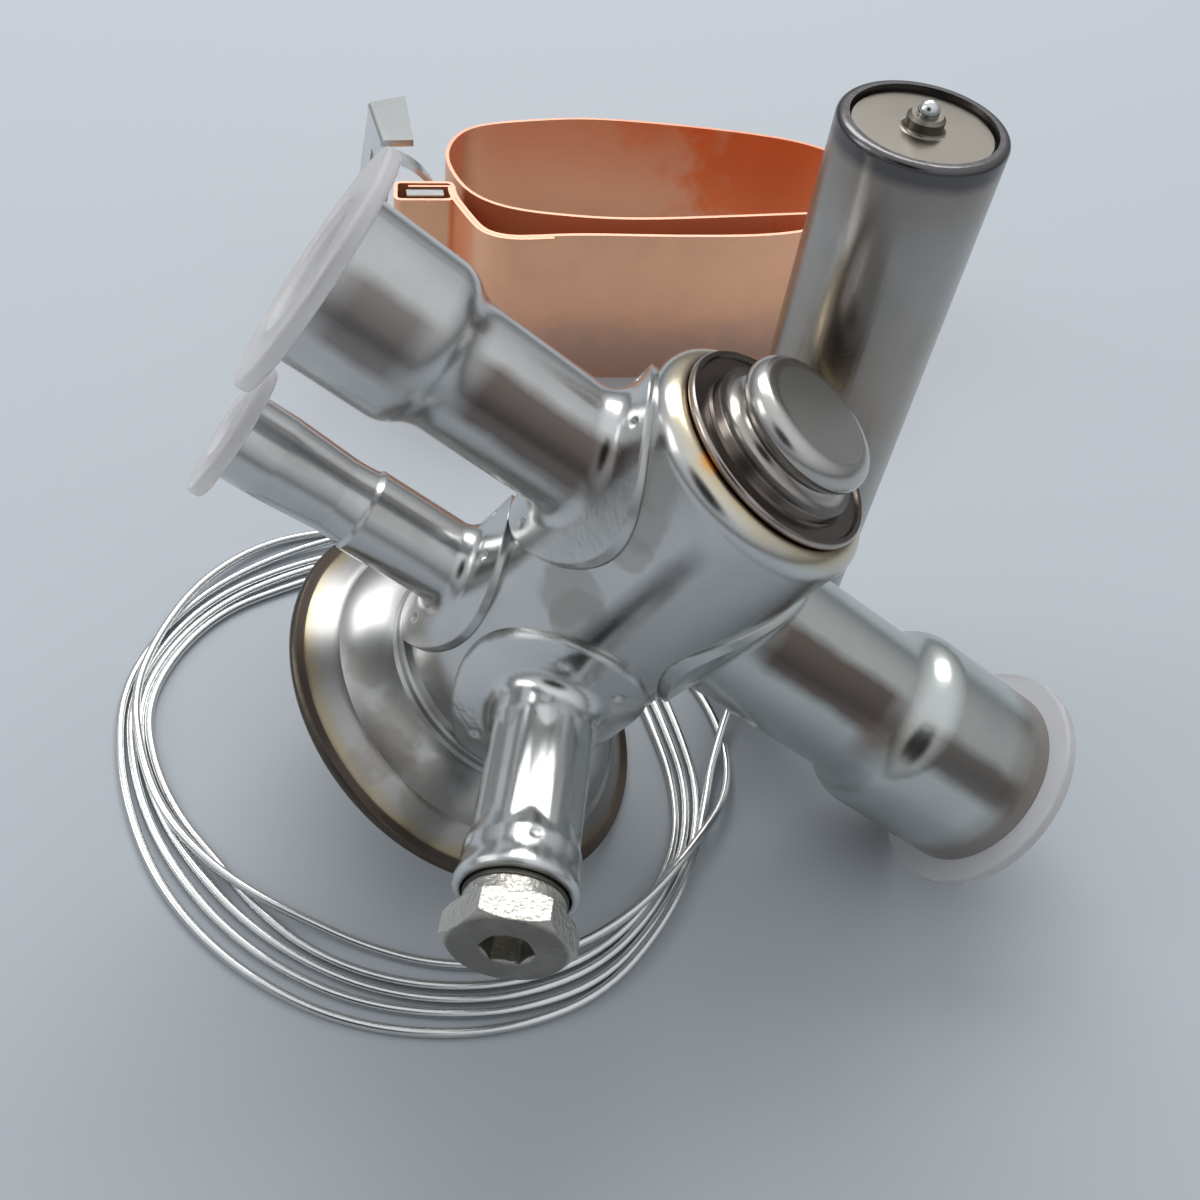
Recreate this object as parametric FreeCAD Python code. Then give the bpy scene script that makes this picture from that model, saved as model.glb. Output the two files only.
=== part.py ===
import FreeCAD, Part
import math
import os

V = FreeCAD.Vector
PARTS = "parts"
os.makedirs(PARTS, exist_ok=True)

# All sizes are in millimetres. The valve is drawn upright in its own frame, with the main
# axis along +Z, the outlet along +X, the inlet and the equalizer along -X and the spindle
# along -Y. It is then laid on the table as the last step.

# Body tube
body_r = 14.3
body_wall = 1.0
body_low = -22.6
body_top = 27.4
body_shoulder = 24.6
body_lip_r = 12.35
body_bore_r = body_r - body_wall

# Saddles: the curved flange that each branch is brazed on by
saddle_clear = 0.1
saddle_wall = 0.9
pit_r = 0.75
root_depth = 6.0

# Inlet branch, 16 mm solder socket
inlet_z = 13.3
inlet_r = 7.25
inlet_wall = 0.9
inlet_socket_bore_r = 8.0
inlet_socket_wall = 1.09
inlet_step_at = 30.4
inlet_step_len = 5.4
inlet_mouth = 46.2
inlet_saddle_along = 12.0
inlet_saddle_round = 11.6
inlet_root = 2.4

# Equalizer branch, 8 mm solder socket
equalizer_z = -10.45
equalizer_r = 5.1
equalizer_wall = 0.8
equalizer_waist_r = 4.6
equalizer_bead_at = 27.6
equalizer_mouth = 43.1
equalizer_mouth_r = 5.05
equalizer_mouth_len = 4.5
equalizer_saddle_along = 11.7
equalizer_saddle_round = 9.2
equalizer_root = 2.0

# Outlet branch, 22 mm solder socket
outlet_z = 6.53
outlet_r = 9.88
outlet_wall = 1.0
outlet_socket_bore_r = 11.1
outlet_socket_wall = 1.06
outlet_step_at = 35.2
outlet_step_len = 5.8
outlet_mouth = 56.7
outlet_saddle_along = 12.6
outlet_saddle_round = 13.3
outlet_root = 1.5

# Transport plugs in the three mouths
plug_flange = 1.6
plug_wall = 0.9
plug_soft = 0.3
plug_depth = 7.0
equalizer_plug_depth = 4.2
plug_fit = 0.05
inlet_plug_r = 13.5
equalizer_plug_r = 8.0
outlet_plug_r = 15.0

# Spindle housing
spindle_z = -8.95
housing_r = 6.05
housing_wall = 0.9
housing_flute = 0.42
housing_flutes = 8
housing_flute_turn = 7.0
housing_fade = 3.0
housing_widen = 0.2
housing_flare_at = 34.9
housing_flare_r = 6.6
housing_lip = 0.7
join = 0.1
housing_mouth = 38.0
housing_saddle_along = 12.6
housing_saddle_round = 10.4
housing_root = 2.0
dimple_at = 34.0
dimple_r = 1.1
dimple_depth = 0.3
dimple_turn = 41.0
dimple_count = 5

# Cap nut, its washer, the gland and the setting spindle
nut_flats = 12.0
nut_len = 3.4
nut_turn = 30.0
nut_bevel = 0.75
nut_key_flats = 5.0
nut_key_depth = 4.2
nut_collar_r = 5.3
nut_collar_len = 2.5
nut_thread_len = 6.0
washer_wall = 0.9
washer_sink = 0.4
gland_len = 5.0
gland_at = 20.0
spindle_r = 2.0
spindle_end = 6.2
running_gap = 0.06
thread_gap = 0.08

# Setting gears and spring
pinion_teeth = 8
pinion_r = 2.8
pinion_root_r = 1.95
gear_teeth = 32
gear_r = 12.4
gear_tooth_in_r = 8.9
gear_tooth_h = 0.75
gear_web = 2.2
gear_sleeve_r = 6.4
tooth_share = 0.26
gear_backlash = 0.2
sleeve_len = 3.6
plate_r = 8.2
plate_len = 2.6
plate_web = 0.8
spring_wire_r = 0.65
spring_mean_r = 5.4
spring_turns = 4
hub_r = 4.2

# Seat block, seat, cone and rod
block_low = -3.0
block_top = 21.0
block_bore_r = 8.5
block_floor = 13.2
inlet_drill_r = 3.6
inlet_drill_z = 16.0
outlet_drill_r = 5.2
outlet_drill_z = 4.3
seat_r = 5.0
seat_bore_r = 3.1
seat_lip = 0.7
seat_chamfer = 0.5
cone_r = 4.4
cone_tip_r = 2.0
cone_gap = 0.30
cone_body = 2.6
rod_r = 1.5
bush_r = 3.0
guide_r = 2.0
stroke = 0.9

# Diaphragm element
rim_r = 25.6
rim_z = -27.9
shell_wall = 0.65
diaphragm_wall = 0.15
wave_count = 5
wave_step = 1.8
wave_depth = 0.35
wave_edge = 0.7
weld_w = 1.1
weld_h = 1.5
rim_land = 1.4
skirt_w = 2.8
ridge_z = -25.3
element_collar = 0.9
element_collar_h = 1.4
dish_land = 8.1
dish_slope = 4.6
dish_depth = 3.6
thrust_r = 13.0
thrust_hub_r = 3.6
thrust_stem_r = 3.0
spring_seat_r = 7.4
spring_pilot_r = 4.2
spring_seat_h = 1.0
thrust_wall = 1.1
stub_r = 1.9
stub_len = 1.6

# End plug, the turned and stepped piece that closes the top
plug_ring_r = 12.0
plug_ring_h = 1.0
plug_groove = 0.12
plug_step = 0.35
dome_r = 8.2
dome_round = 1.8
dome_top = 34.1
dome_neck_r = 7.3
dome_neck_z = 30.5
dome_foot_r = 9.3
dome_foot_z = 29.3

# Capillary, lying loose on the table
capillary_d = 1.2
coil_h = 3.6
coil_outside = [(-64.9, -0.5), (-63.6, -7.5), (-60.2, -14.0), (-53.6, -25.2), (-47.9, -31.3),
                (-34.6, -40.1), (-20.0, -44.0), (-7.5, -43.0), (4.9, -37.4), (14.6, -26.8),
                (18.3, -15.5), (20.4, -9.5), (23.2, -3.0), (24.4, 3.8), (23.4, 9.4), (19.4, 13.6),
                (13.2, 18.6), (6.0, 26.2),
                (-7.0, 34.3), (-23.0, 38.8), (-38.0, 38.2), (-49.4, 34.4), (-58.2, 24.8),
                (-62.4, 16.4), (-64.3, 8.0)]
coil_inside = [(-57.8, -4.4), (-55.3, -10.5), (-46.2, -17.8), (-37.5, -24.4), (-30.0, -28.8),
               (-23.2, -31.2), (-16.9, -32.2), (-10.0, -31.8), (-3.0, -29.8), (4.0, -25.8),
               (9.0, -21.9), (12.3, -17.0), (13.8, -11.0), (13.3, -3.5), (11.0, 4.0), (7.8, 11.0),
               (1.0, 20.5), (-10.0, 28.0), (-23.0, 31.8), (-34.0, 29.5), (-44.6, 21.9),
               (-51.6, 15.0), (-56.2, 6.0)]
lead_drop = 8.2
lead_route = [(-31.5, 1.0, 1.5), (-33.0, 15.0, 1.5), (-40.5, 27.5, 1.5)]
tail_route = [(18.7, 2.0, 1.7)]

# Sensing bulb, standing on its closed end
bulb_x, bulb_y = 23.2, 25.0
bulb_r = 9.0
bulb_h = 87.0
bulb_edge = 0.8
bulb_disc_drop = 0.7
bulb_rim = 1.3
nipple_r = 2.0
nipple_h = 1.6
ball_r = 1.15
bulb_entry_z = 2.4
bulb_entry_len = 2.2
bulb_entry_r = 1.3
bulb_entry_turn = -12.0
bulb_entry_run = 5.0
mouth_gap = 0.2
bulb_wall = 1.2
ball_seat_r = 0.8
ball_rise = 0.25

# Bulb strap, a copper band standing on its edge
strap_h = 30.0
strap_t = 0.6

band_path = [(24.5, 101.2), (14.9, 97.4), (4.7, 93.4), (-5.2, 89.8), (-11.8, 88.0), (-18.5, 86.8),
             (-25.0, 86.2), (-31.0, 87.2), (-35.0, 89.8), (-38.0, 93.8), (-39.9, 98.0), (-40.3, 103.0),
             (-38.4, 108.4), (-34.2, 112.0), (-28.0, 115.3), (-19.7, 118.9), (-8.8, 121.6),
             (2.2, 123.4), (13.6, 124.6), (24.0, 124.0), (31.2, 120.0), (34.0, 113.0), (32.0, 104.5),
             (22.0, 94.6), (8.6, 88.9), (-4.6, 84.9), (-17.5, 80.9), (-22.1, 79.1), (-26.1, 78.1),
             (-29.3, 78.7), (-31.9, 81.2), (-34.5, 84.6), (-36.3, 87.4), (-37.0, 89.6)]
tail_share = 0.903
tail_end = 1.0
lap_gap = 0.06
buckle_outline = [(-46.8, 87.9), (-45.5, 82.3), (-36.0, 85.4), (-37.2, 91.0)]
buckle_round = 1.2
lap_line = [(-44.2, 87.2), (-37.3, 89.5)]
plate_line = [(-43.9, 84.6), (-38.1, 86.5)]
buckle_plate_t = 1.6
hook_line = [(-56.2, 107.6), (-49.0, 91.8)]
hook_spread = (-4.2, -2.1)
hook_t = 1.2
hook_h = 32.0
hook_foot = 0.2
hook_bend = 1.0
hook_slot_z = 13.0
hook_slot_h = 14.0
hook_slot = (0.36, 0.48)
head_outline = [(-56.4, 107.7), (-51.2, 96.2), (-45.9, 98.2), (-50.7, 112.2)]
prong_line = [(-50.2, 95.4, 31.4), (-45.4, 95.0, 30.6), (-41.8, 94.6, 27.6)]
prong_width = (1.0, -2.6)

# Lie of the valve
roll = 3.16
contact_gap = 0.04


collar_low = body_low + 0.5
collar_top = collar_low + element_collar_h


def turned(profile):
    """A solid of revolution about +Z from a closed outline of (radius, height) points.

    A point may be a triple (radius, height, "arc"): it is then the middle of an arc from
    the point before it to the point after it.
    """
    edges = []
    count = len(profile)
    index = 0
    while index < count:
        start = profile[index]
        nxt = profile[(index + 1) % count]
        a = V(start[0], 0, start[1])
        if len(nxt) == 3:
            end = profile[(index + 2) % count]
            edges.append(Part.Arc(a, V(nxt[0], 0, nxt[1]), V(end[0], 0, end[1])).toShape())
            index += 2
        else:
            edges.append(Part.makeLine(a, V(nxt[0], 0, nxt[1])))
            index += 1
    face = Part.Face(Part.Wire(edges))
    return face.revolve(V(0, 0, 0), V(0, 0, 1), 360)


def disc(r, z0, z1):
    return Part.makeCylinder(r, z1 - z0, V(0, 0, z0))


def ring(r_out, r_in, z0, z1):
    return disc(r_out, z0, z1).cut(disc(r_in, z0 - 1, z1 + 1))


def hexagon(flats, z0, z1):
    corner = flats / math.sqrt(3)
    turns = [math.radians(nut_turn + 60 * k) for k in range(7)]
    points = [V(corner * math.cos(turn), corner * math.sin(turn), z0) for turn in turns]
    return Part.Face(Part.makePolygon(points)).extrude(V(0, 0, z1 - z0))


def pointing(shape, way, height):
    """Turn a piece drawn along +Z so that it points along way, at that height of the body."""
    turn = FreeCAD.Rotation(V(0, 0, 1), way)
    moved = shape.copy()
    moved.Placement = FreeCAD.Placement(V(0, 0, height), turn)
    return moved


LEFT = V(-1, 0, 0)
RIGHT = V(1, 0, 0)
FRONT = V(0, -1, 0)


def saddle_plate(way, height, half_along, half_round):
    """The flange of a branch: a patch of a tube that fits the body, with an oval outline."""
    patch = ring(body_r + saddle_wall, body_r, height - half_along - 2, height + half_along + 2)
    across = V(0, 1, 0) if way != FRONT else V(1, 0, 0)
    centre = V(0, 0, height)
    tips = [centre + V(0, 0, half_along), centre + across * half_round]
    if half_round > half_along:
        tips.reverse()
    oval = Part.Ellipse(tips[0], tips[1], centre)
    tool = Part.Face(Part.Wire(oval.toShape())).extrude(way * (body_r + 5))
    return patch.common(tool)


def pits(plate, way, height, along, across_at):
    """Four small weld pits in the ears of a saddle."""
    across = V(0, 1, 0) if way != FRONT else V(1, 0, 0)
    reach = math.sqrt((body_r + saddle_wall) ** 2 - across_at ** 2)
    for up in (-1, 1):
        for side in (-1, 1):
            spot = way * reach + across * (side * across_at) + V(0, 0, height + up * along)
            inward = V(-spot.x, -spot.y, 0)
            inward.normalize()
            pit = Part.makeCone(pit_r, 0.15, pit_r * 0.8, spot - inward * 0.05, inward)
            plate = plate.cut(pit)
    return plate


def root_edges(shape, way, height, r):
    """The closed curve where a tube of radius r meets the outside of its saddle."""
    found = []
    for edge in shape.Edges:
        hits = 0
        for k in range(5):
            share = edge.FirstParameter + (edge.LastParameter - edge.FirstParameter) * k / 4
            spot = edge.valueAt(share)
            off_main = math.hypot(spot.x, spot.y)
            rest = V(spot.x, spot.y, spot.z - height)
            off_axis = (rest - way * rest.dot(way)).Length
            if abs(off_main - body_r - saddle_wall) < 0.01 and abs(off_axis - r) < 0.01:
                hits += 1
        if hits == 5:
            found.append(edge)
    return found


def branch(way, height, r, outline, bore_r, half_along, half_round, pit_along, pit_across, sweep):
    """A drawn tube blended into its saddle, open through, coped to the body."""
    tube = pointing(turned(outline), way, height)
    plate = saddle_plate(way, height, half_along, half_round)
    core = pointing(disc(r - 0.3, body_r - 3, body_r + 2), way, height)
    whole = tube.fuse(plate).fuse(core)
    whole = whole.cut(disc(body_r, body_low - 8, body_top + 8))
    whole = whole.cut(disc(body_r + 2 * saddle_wall, body_low - 8, collar_top + saddle_clear))
    edges = root_edges(whole, way, height, r)
    whole = whole.makeFillet(sweep, edges)
    whole = pits(whole, way, height, pit_along, pit_across)
    bore = pointing(disc(bore_r, 1, body_r + 6), way, height)
    return whole.cut(bore)


def make_body():
    inner_lip = body_lip_r - body_wall
    mid_out = ((body_r + body_lip_r) / 2 + 0.55, (body_shoulder + body_top) / 2 + 0.5, "arc")
    mid_in = ((body_bore_r + inner_lip) / 2 + 0.45, (body_shoulder + body_top) / 2 + 0.15, "arc")
    shell = turned([(body_bore_r, body_low), (body_r, body_low), (body_r, body_shoulder), mid_out,
                    (body_lip_r, body_top), (inner_lip, body_top), mid_in,
                    (body_bore_r, body_shoulder)])
    holes = [(LEFT, inlet_z, inlet_r - inlet_wall), (LEFT, equalizer_z, equalizer_r - equalizer_wall),
             (RIGHT, outlet_z, outlet_r - outlet_wall), (FRONT, spindle_z, housing_r - housing_wall)]
    for way, height, r in holes:
        shell = shell.cut(pointing(disc(r, 5, body_r + 5), way, height))
    return shell


def soft_step(r_a, r_b, at, length):
    """Two arcs that lead smoothly from one radius of a drawn tube to the next."""
    rise = r_b - r_a
    bend = (length ** 2 + rise ** 2) / (4 * rise)
    half = math.asin(length / 2 / abs(bend)) / 2
    along = abs(bend) * math.sin(half)
    out = bend * (1 - math.cos(half))
    return [(r_a, at), (r_a + out, at + along, "arc"), (r_a + rise / 2, at + length / 2),
            (r_b - out, at + length - along, "arc"), (r_b, at + length)]


def make_inlet():
    socket_r = inlet_socket_bore_r + inlet_socket_wall
    step_end = inlet_step_at + inlet_step_len
    bore_r = inlet_r - inlet_wall
    outline = [(inlet_r, body_r - root_depth)]
    outline += soft_step(inlet_r, socket_r, inlet_step_at, inlet_step_len)
    outline += [(socket_r, inlet_mouth), (inlet_socket_bore_r, inlet_mouth),
                (inlet_socket_bore_r, step_end), (bore_r, inlet_step_at), (bore_r, body_r - root_depth)]
    return branch(LEFT, inlet_z, inlet_r, outline, bore_r, inlet_saddle_along, inlet_saddle_round,
                  9.4, 3.8, inlet_root)


def make_equalizer():
    bore_r = equalizer_r - equalizer_wall
    waist_bore = equalizer_waist_r - equalizer_wall
    mouth_bore = equalizer_mouth_r - equalizer_wall
    waist_at = equalizer_bead_at + 3.4
    straight_at = equalizer_mouth - equalizer_mouth_len
    outline = [(equalizer_r, body_r - root_depth), (equalizer_r, equalizer_bead_at),
                (equalizer_r - 0.35, equalizer_bead_at + 0.5),
                (equalizer_waist_r + 0.02, equalizer_bead_at + 2.2, "arc"),
                (equalizer_waist_r, waist_at), (equalizer_mouth_r, straight_at),
                (equalizer_mouth_r, equalizer_mouth), (mouth_bore, equalizer_mouth),
                (mouth_bore, straight_at), (waist_bore, waist_at),
                (bore_r, equalizer_bead_at), (bore_r, body_r - root_depth)]
    return branch(LEFT, equalizer_z, equalizer_r, outline, bore_r, equalizer_saddle_along,
                  equalizer_saddle_round, 7.3, 3.5, equalizer_root)


def make_outlet():
    socket_r = outlet_socket_bore_r + outlet_socket_wall
    step_end = outlet_step_at + outlet_step_len
    bore_r = outlet_r - outlet_wall
    outline = [(outlet_r, body_r - root_depth)]
    outline += soft_step(outlet_r, socket_r, outlet_step_at, outlet_step_len)
    outline += [(socket_r, outlet_mouth), (outlet_socket_bore_r, outlet_mouth),
                (outlet_socket_bore_r, step_end), (bore_r, outlet_step_at), (bore_r, body_r - root_depth)]
    return branch(RIGHT, outlet_z, outlet_r, outline, bore_r, outlet_saddle_along,
                  outlet_saddle_round, 11.0, 5.0, outlet_root)


def transport_plug(way, height, mouth, bore_r, flange_r, depth):
    """A soft hollow plug: its stem fills the mouth and its flange stops against the rim."""
    stem_end = mouth - depth
    stem_r = bore_r - plug_fit
    top = mouth + plug_flange
    soft = plug_flange * plug_soft
    outline = [(0, stem_end), (stem_r - 0.4, stem_end), (stem_r, stem_end + 1.5), (stem_r, mouth),
               (flange_r - soft, mouth), (flange_r - soft * 0.29, mouth + soft * 0.29, "arc"),
               (flange_r, mouth + soft), (flange_r, top - soft),
               (flange_r - soft * 0.29, top - soft * 0.29, "arc"), (flange_r - soft, top),
               (stem_r - plug_wall + 0.5, top), (stem_r - plug_wall, top - 0.6),
               (stem_r - plug_wall, stem_end + plug_wall), (0, stem_end + plug_wall)]
    return pointing(turned(outline), way, height)


def fluted_tube(r, depth, z0, z1):
    """A tube outline with long pressed flats between rounded ridges."""
    points = []
    steps = housing_flutes * 4
    turn = math.radians(housing_flute_turn)
    for k in range(steps):
        angle = 2 * math.pi * k / steps
        fold = r - depth * (0.5 - 0.5 * math.cos(housing_flutes * angle))
        points.append(V(fold * math.cos(angle + turn), fold * math.sin(angle + turn), z0))
    curve = Part.BSplineCurve()
    curve.interpolate(points, PeriodicFlag=True)
    return Part.Face(Part.Wire(curve.toShape())).extrude(V(0, 0, z1 - z0))


def make_housing():
    """The deep-drawn tube round the setting spindle.

    Its pressed flats run out in a cone at both ends, and its open end is flared and rolled in.
    """
    bore = housing_r - housing_wall
    flare_bore = housing_flare_r - housing_wall
    neck_r = housing_r + housing_widen
    valley_r = housing_r - housing_flute - join
    fluted_from = body_r + housing_root + 1.4
    fluted_to = housing_flare_at - 1.6
    foot = [(housing_r, body_r - root_depth), (housing_r, fluted_from),
            (valley_r, fluted_from + housing_fade), (bore, fluted_from + housing_fade),
            (bore, body_r - root_depth)]
    whole = branch(FRONT, spindle_z, housing_r, foot, bore, housing_saddle_along,
                   housing_saddle_round, 8.4, 3.9, housing_root)
    barrel = fluted_tube(housing_r - join / 3, housing_flute, fluted_from - join, fluted_to + join)
    barrel = barrel.cut(disc(bore, fluted_from - 1, fluted_to + 1))
    lip = housing_lip
    flare = [(valley_r, fluted_to - housing_fade), (neck_r, fluted_to)]
    flare += soft_step(neck_r, housing_flare_r, housing_flare_at, housing_mouth - lip - housing_flare_at)
    flare += [(housing_flare_r - lip * 0.29, housing_mouth - lip * 0.29, "arc"),
              (housing_flare_r - lip, housing_mouth), (flare_bore, housing_mouth),
              (flare_bore, housing_mouth - 2.0), (bore, housing_mouth - 2.6),
              (bore, fluted_to - housing_fade)]
    flare = turned(flare)
    for k in range(dimple_count):
        angle = math.radians(dimple_turn + 360.0 / dimple_count * k)
        reach = neck_r + dimple_r - dimple_depth
        spot = V(reach * math.cos(angle), reach * math.sin(angle), dimple_at)
        flare = flare.cut(Part.makeSphere(dimple_r, spot))
    whole = whole.fuse(pointing(barrel, FRONT, spindle_z))
    return whole.fuse(pointing(flare, FRONT, spindle_z))


def make_gland():
    """The threaded bush that guides and seals the spindle in its housing."""
    bore = housing_r - housing_wall
    return ring(bore, spindle_r + running_gap, gland_at, gland_at + gland_len)


def make_spindle_seal():
    groove_z = gland_at + gland_len
    seal_r = (spindle_r + 0.1 + housing_r - housing_wall) / 2
    thick = (housing_r - housing_wall - spindle_r - 0.1) / 2
    return Part.makeTorus(seal_r, thick, V(0, 0, groove_z + thick))


def make_circlip():
    at = gland_at - 1.0
    clip = ring(spindle_r + 1.1, spindle_r - 0.3, at, at + 0.6)
    return clip.cut(Part.makeBox(6, 1.6, 2, V(0, -0.8, at - 0.5)))


def tooth_wedge(r_in, r_out, share, count, z0, z1, narrow):
    """One tooth between two radii, a little narrower at its tip, centred on +X."""
    half = math.pi / count * share * 2
    low = [V(r_in * math.cos(half), -r_in * math.sin(half), z0),
           V(r_out * math.cos(half), -r_out * math.sin(half), z0),
           V(r_out * math.cos(half), r_out * math.sin(half), z0),
           V(r_in * math.cos(half), r_in * math.sin(half), z0)]
    thin = half * narrow
    high = [V(r_in * math.cos(thin), -r_in * math.sin(thin), z1),
            V(r_out * math.cos(thin), -r_out * math.sin(thin), z1),
            V(r_out * math.cos(thin), r_out * math.sin(thin), z1),
            V(r_in * math.cos(thin), r_in * math.sin(thin), z1)]
    wires = [Part.makePolygon(low + [low[0]]), Part.makePolygon(high + [high[0]])]
    return Part.makeLoft(wires, True, True)


def make_spindle():
    """The setting spindle, with its pinion inside and a key flat outside, drawn along +Z."""
    pinion_out = gear_r - 0.3
    pinion_in = gear_tooth_in_r + 0.2
    shaft = disc(spindle_r, pinion_in, gland_at + gland_len + spindle_end)
    groove = ring(spindle_r + 1, spindle_r - 0.3, gland_at - 1.0, gland_at - 0.4)
    slot = Part.makeBox(1.0, 6, 2.0, V(-0.5, -3, gland_at + gland_len + spindle_end - 1.4))
    wheel = disc(pinion_root_r, pinion_in, pinion_out)
    half = math.pi / pinion_teeth * tooth_share * 2
    for k in range(pinion_teeth):
        points = [V(pinion_root_r * 0.9, -math.tan(half) * pinion_r * 0.75, pinion_in),
                  V(pinion_r, -math.tan(half) * pinion_r * 0.42, pinion_in),
                  V(pinion_r, math.tan(half) * pinion_r * 0.42, pinion_in),
                  V(pinion_root_r * 0.9, math.tan(half) * pinion_r * 0.75, pinion_in)]
        tooth = Part.Face(Part.makePolygon(points + [points[0]])).extrude(V(0, 0, pinion_out - pinion_in))
        tooth.rotate(V(0, 0, 0), V(0, 0, 1), 360.0 / pinion_teeth * (k + 0.5))
        wheel = wheel.fuse(tooth)
    return shaft.cut(groove).cut(slot).fuse(wheel).removeSplitter()


gear_face = spindle_z + pinion_root_r + gear_tooth_h + gear_backlash
gear_back = gear_face + gear_web


def make_gear():
    """The crown gear that the pinion turns, with the screwed sleeve that moves the plate."""
    sleeve_low = gear_face - sleeve_len
    gear = ring(gear_r, hub_r + running_gap, gear_face, gear_back)
    gear = gear.fuse(ring(gear_sleeve_r, hub_r + running_gap, sleeve_low, gear_face))
    tooth = tooth_wedge(gear_tooth_in_r, gear_r, tooth_share, gear_teeth, gear_face + 0.05,
                        gear_face - gear_tooth_h, 0.55)
    for k in range(gear_teeth):
        one = tooth.copy()
        one.rotate(V(0, 0, 0), V(0, 0, 1), 360.0 / gear_teeth * k - 90)
        gear = gear.fuse(one)
    return gear.removeSplitter()


plate_top = gear_face - 1.0


def make_plate():
    """The upper spring plate, a nut on the gear's sleeve that is kept from turning."""
    low = plate_top - plate_len
    plate = ring(plate_r, gear_sleeve_r + thread_gap, low, plate_top)
    web_low = gear_face - sleeve_len - stroke - 0.6 - plate_web
    plate = plate.fuse(ring(plate_r, gear_sleeve_r + thread_gap, web_low, low))
    plate = plate.fuse(ring(plate_r, hub_r + 0.3, web_low, web_low + plate_web))
    return plate.removeSplitter(), web_low


def make_spring(z_low, z_high):
    """The superheat spring: a round wire helix, led through one quarter turn after another."""
    height = z_high - z_low - 2 * spring_wire_r
    pitch = height / spring_turns
    rise = pitch / 4
    quarter = Part.makeHelix(pitch, rise, spring_mean_r)
    edges = []
    for k in range(spring_turns * 4):
        edge = quarter.copy()
        edge.rotate(V(0, 0, 0), V(0, 0, 1), 90 * k)
        edge.translate(V(0, 0, rise * k))
        edges.append(edge.Edges[0])
    along = V(0, spring_mean_r, pitch / (2 * math.pi))
    profile = Part.Wire(Part.makeCircle(spring_wire_r, V(spring_mean_r, 0, 0), along))
    wire = Part.Wire(edges).makePipeShell([profile], True, True)
    wire.translate(V(0, 0, z_low + spring_wire_r))
    return wire


def make_seat_block():
    """The block brazed across the body: it parts inlet from outlet and carries the guide."""
    block = disc(body_bore_r, block_low, block_top)
    block = block.cut(disc(block_bore_r, block_floor, block_top + 1))
    block = block.cut(pointing(disc(inlet_drill_r, block_bore_r - 2, body_r + 2), LEFT, inlet_drill_z))
    block = block.cut(Part.makeCylinder(outlet_drill_r, body_r + 9, V(-7, 0, outlet_drill_z), V(1, 0, 0)))
    block = block.cut(disc(seat_r, outlet_drill_z, block_floor + 1))
    hub = disc(hub_r, gear_face - sleeve_len + 0.4, block_low)
    block = block.fuse(hub)
    block = block.cut(disc(bush_r, gear_face - sleeve_len - 1, outlet_drill_z))
    return block.removeSplitter()


seat_low = outlet_drill_z + outlet_drill_r - 0.8
seat_top = block_floor + seat_lip


def make_seat():
    chamfer_r = seat_bore_r + seat_chamfer
    return turned([(seat_bore_r, seat_low), (seat_r, seat_low), (seat_r, seat_top),
                   (chamfer_r, seat_top), (seat_bore_r, seat_top - seat_chamfer)])


def make_bush():
    low = gear_face - sleeve_len + 0.4
    return ring(bush_r, rod_r + running_gap, low, block_low + 2.0)


cone_low = seat_top - 1.4
cone_top = seat_top + (cone_r - seat_bore_r - seat_chamfer) + cone_gap


def make_cone():
    """The valve cone with its guide stem, bored for the rod."""
    edge_r = seat_bore_r + seat_chamfer - cone_gap
    cone = turned([(0, cone_low), (cone_tip_r, cone_low), (edge_r - 0.9, seat_top - 0.9),
                   (edge_r, seat_top), (cone_r, cone_top), (cone_r, cone_top + cone_body),
                   (guide_r, cone_top + cone_body + 0.6), (guide_r, body_shoulder + 1.5),
                   (0, body_shoulder + 1.5)])
    return cone.cut(disc(rod_r, cone_low - 1, cone_top))


thrust_low = rim_z + 0.1
hub_low = thrust_low + thrust_wall + 3.2


def make_thrust_plate():
    """The plate on the diaphragm, with the hub that carries the rod and the lower spring seat."""
    top = thrust_low + thrust_wall
    return turned([(0, thrust_low), (thrust_r - 0.5, thrust_low), (thrust_r, thrust_low + 0.5),
                   (thrust_r, top), (thrust_hub_r, top), (thrust_stem_r, top + 0.6),
                   (thrust_stem_r, hub_low), (0, hub_low)])


def make_spring_seat():
    face = hub_low + spring_seat_h
    return turned([(rod_r, hub_low), (spring_seat_r, hub_low), (spring_seat_r, face),
                   (spring_pilot_r + 0.3, face), (spring_pilot_r, face + 0.8), (rod_r, face + 0.8)])


def make_rod():
    return disc(rod_r, hub_low, cone_top)


skirt_r = rim_r - rim_land
ridge_r = skirt_r - skirt_w
dish_r = rim_r - dish_land


def make_upper_shell():
    """The pressed upper half of the diaphragm element, from its rim to its collar."""
    low = rim_z
    flange = low + shell_wall
    neck_r = body_r + element_collar
    outer = [(body_r, collar_low - 0.9), (skirt_r - 3.6, ridge_z - shell_wall - 0.1),
             (skirt_r - 1.2, low), (rim_r, low), (rim_r, flange), (skirt_r + 0.3, flange),
             (ridge_r + 0.5, ridge_z - 0.35), (ridge_r, ridge_z - 0.1, "arc"), (ridge_r - 0.5, ridge_z),
             ((ridge_r + neck_r) / 2 + 0.2, (ridge_z + collar_low) / 2 + 0.55, "arc"),
             (neck_r + 0.35, collar_low), (neck_r, collar_low + 0.4), (neck_r, collar_top - 0.3),
             (neck_r - 0.3, collar_top), (body_r, collar_top)]
    return turned(outer)


def make_lower_shell():
    """The pressed lower half, dished away from the diaphragm, with the capillary hole."""
    top = rim_z - diaphragm_wall
    low = top - shell_wall
    floor = top - dish_depth
    outer = [(stub_r, floor - shell_wall), (stub_r, floor), (dish_r, floor),
             (dish_r + dish_slope, top), (rim_r, top), (rim_r, low), (dish_r + dish_slope + 0.6, low),
             (dish_r + 0.6, floor - shell_wall)]
    return turned(outer)


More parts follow.
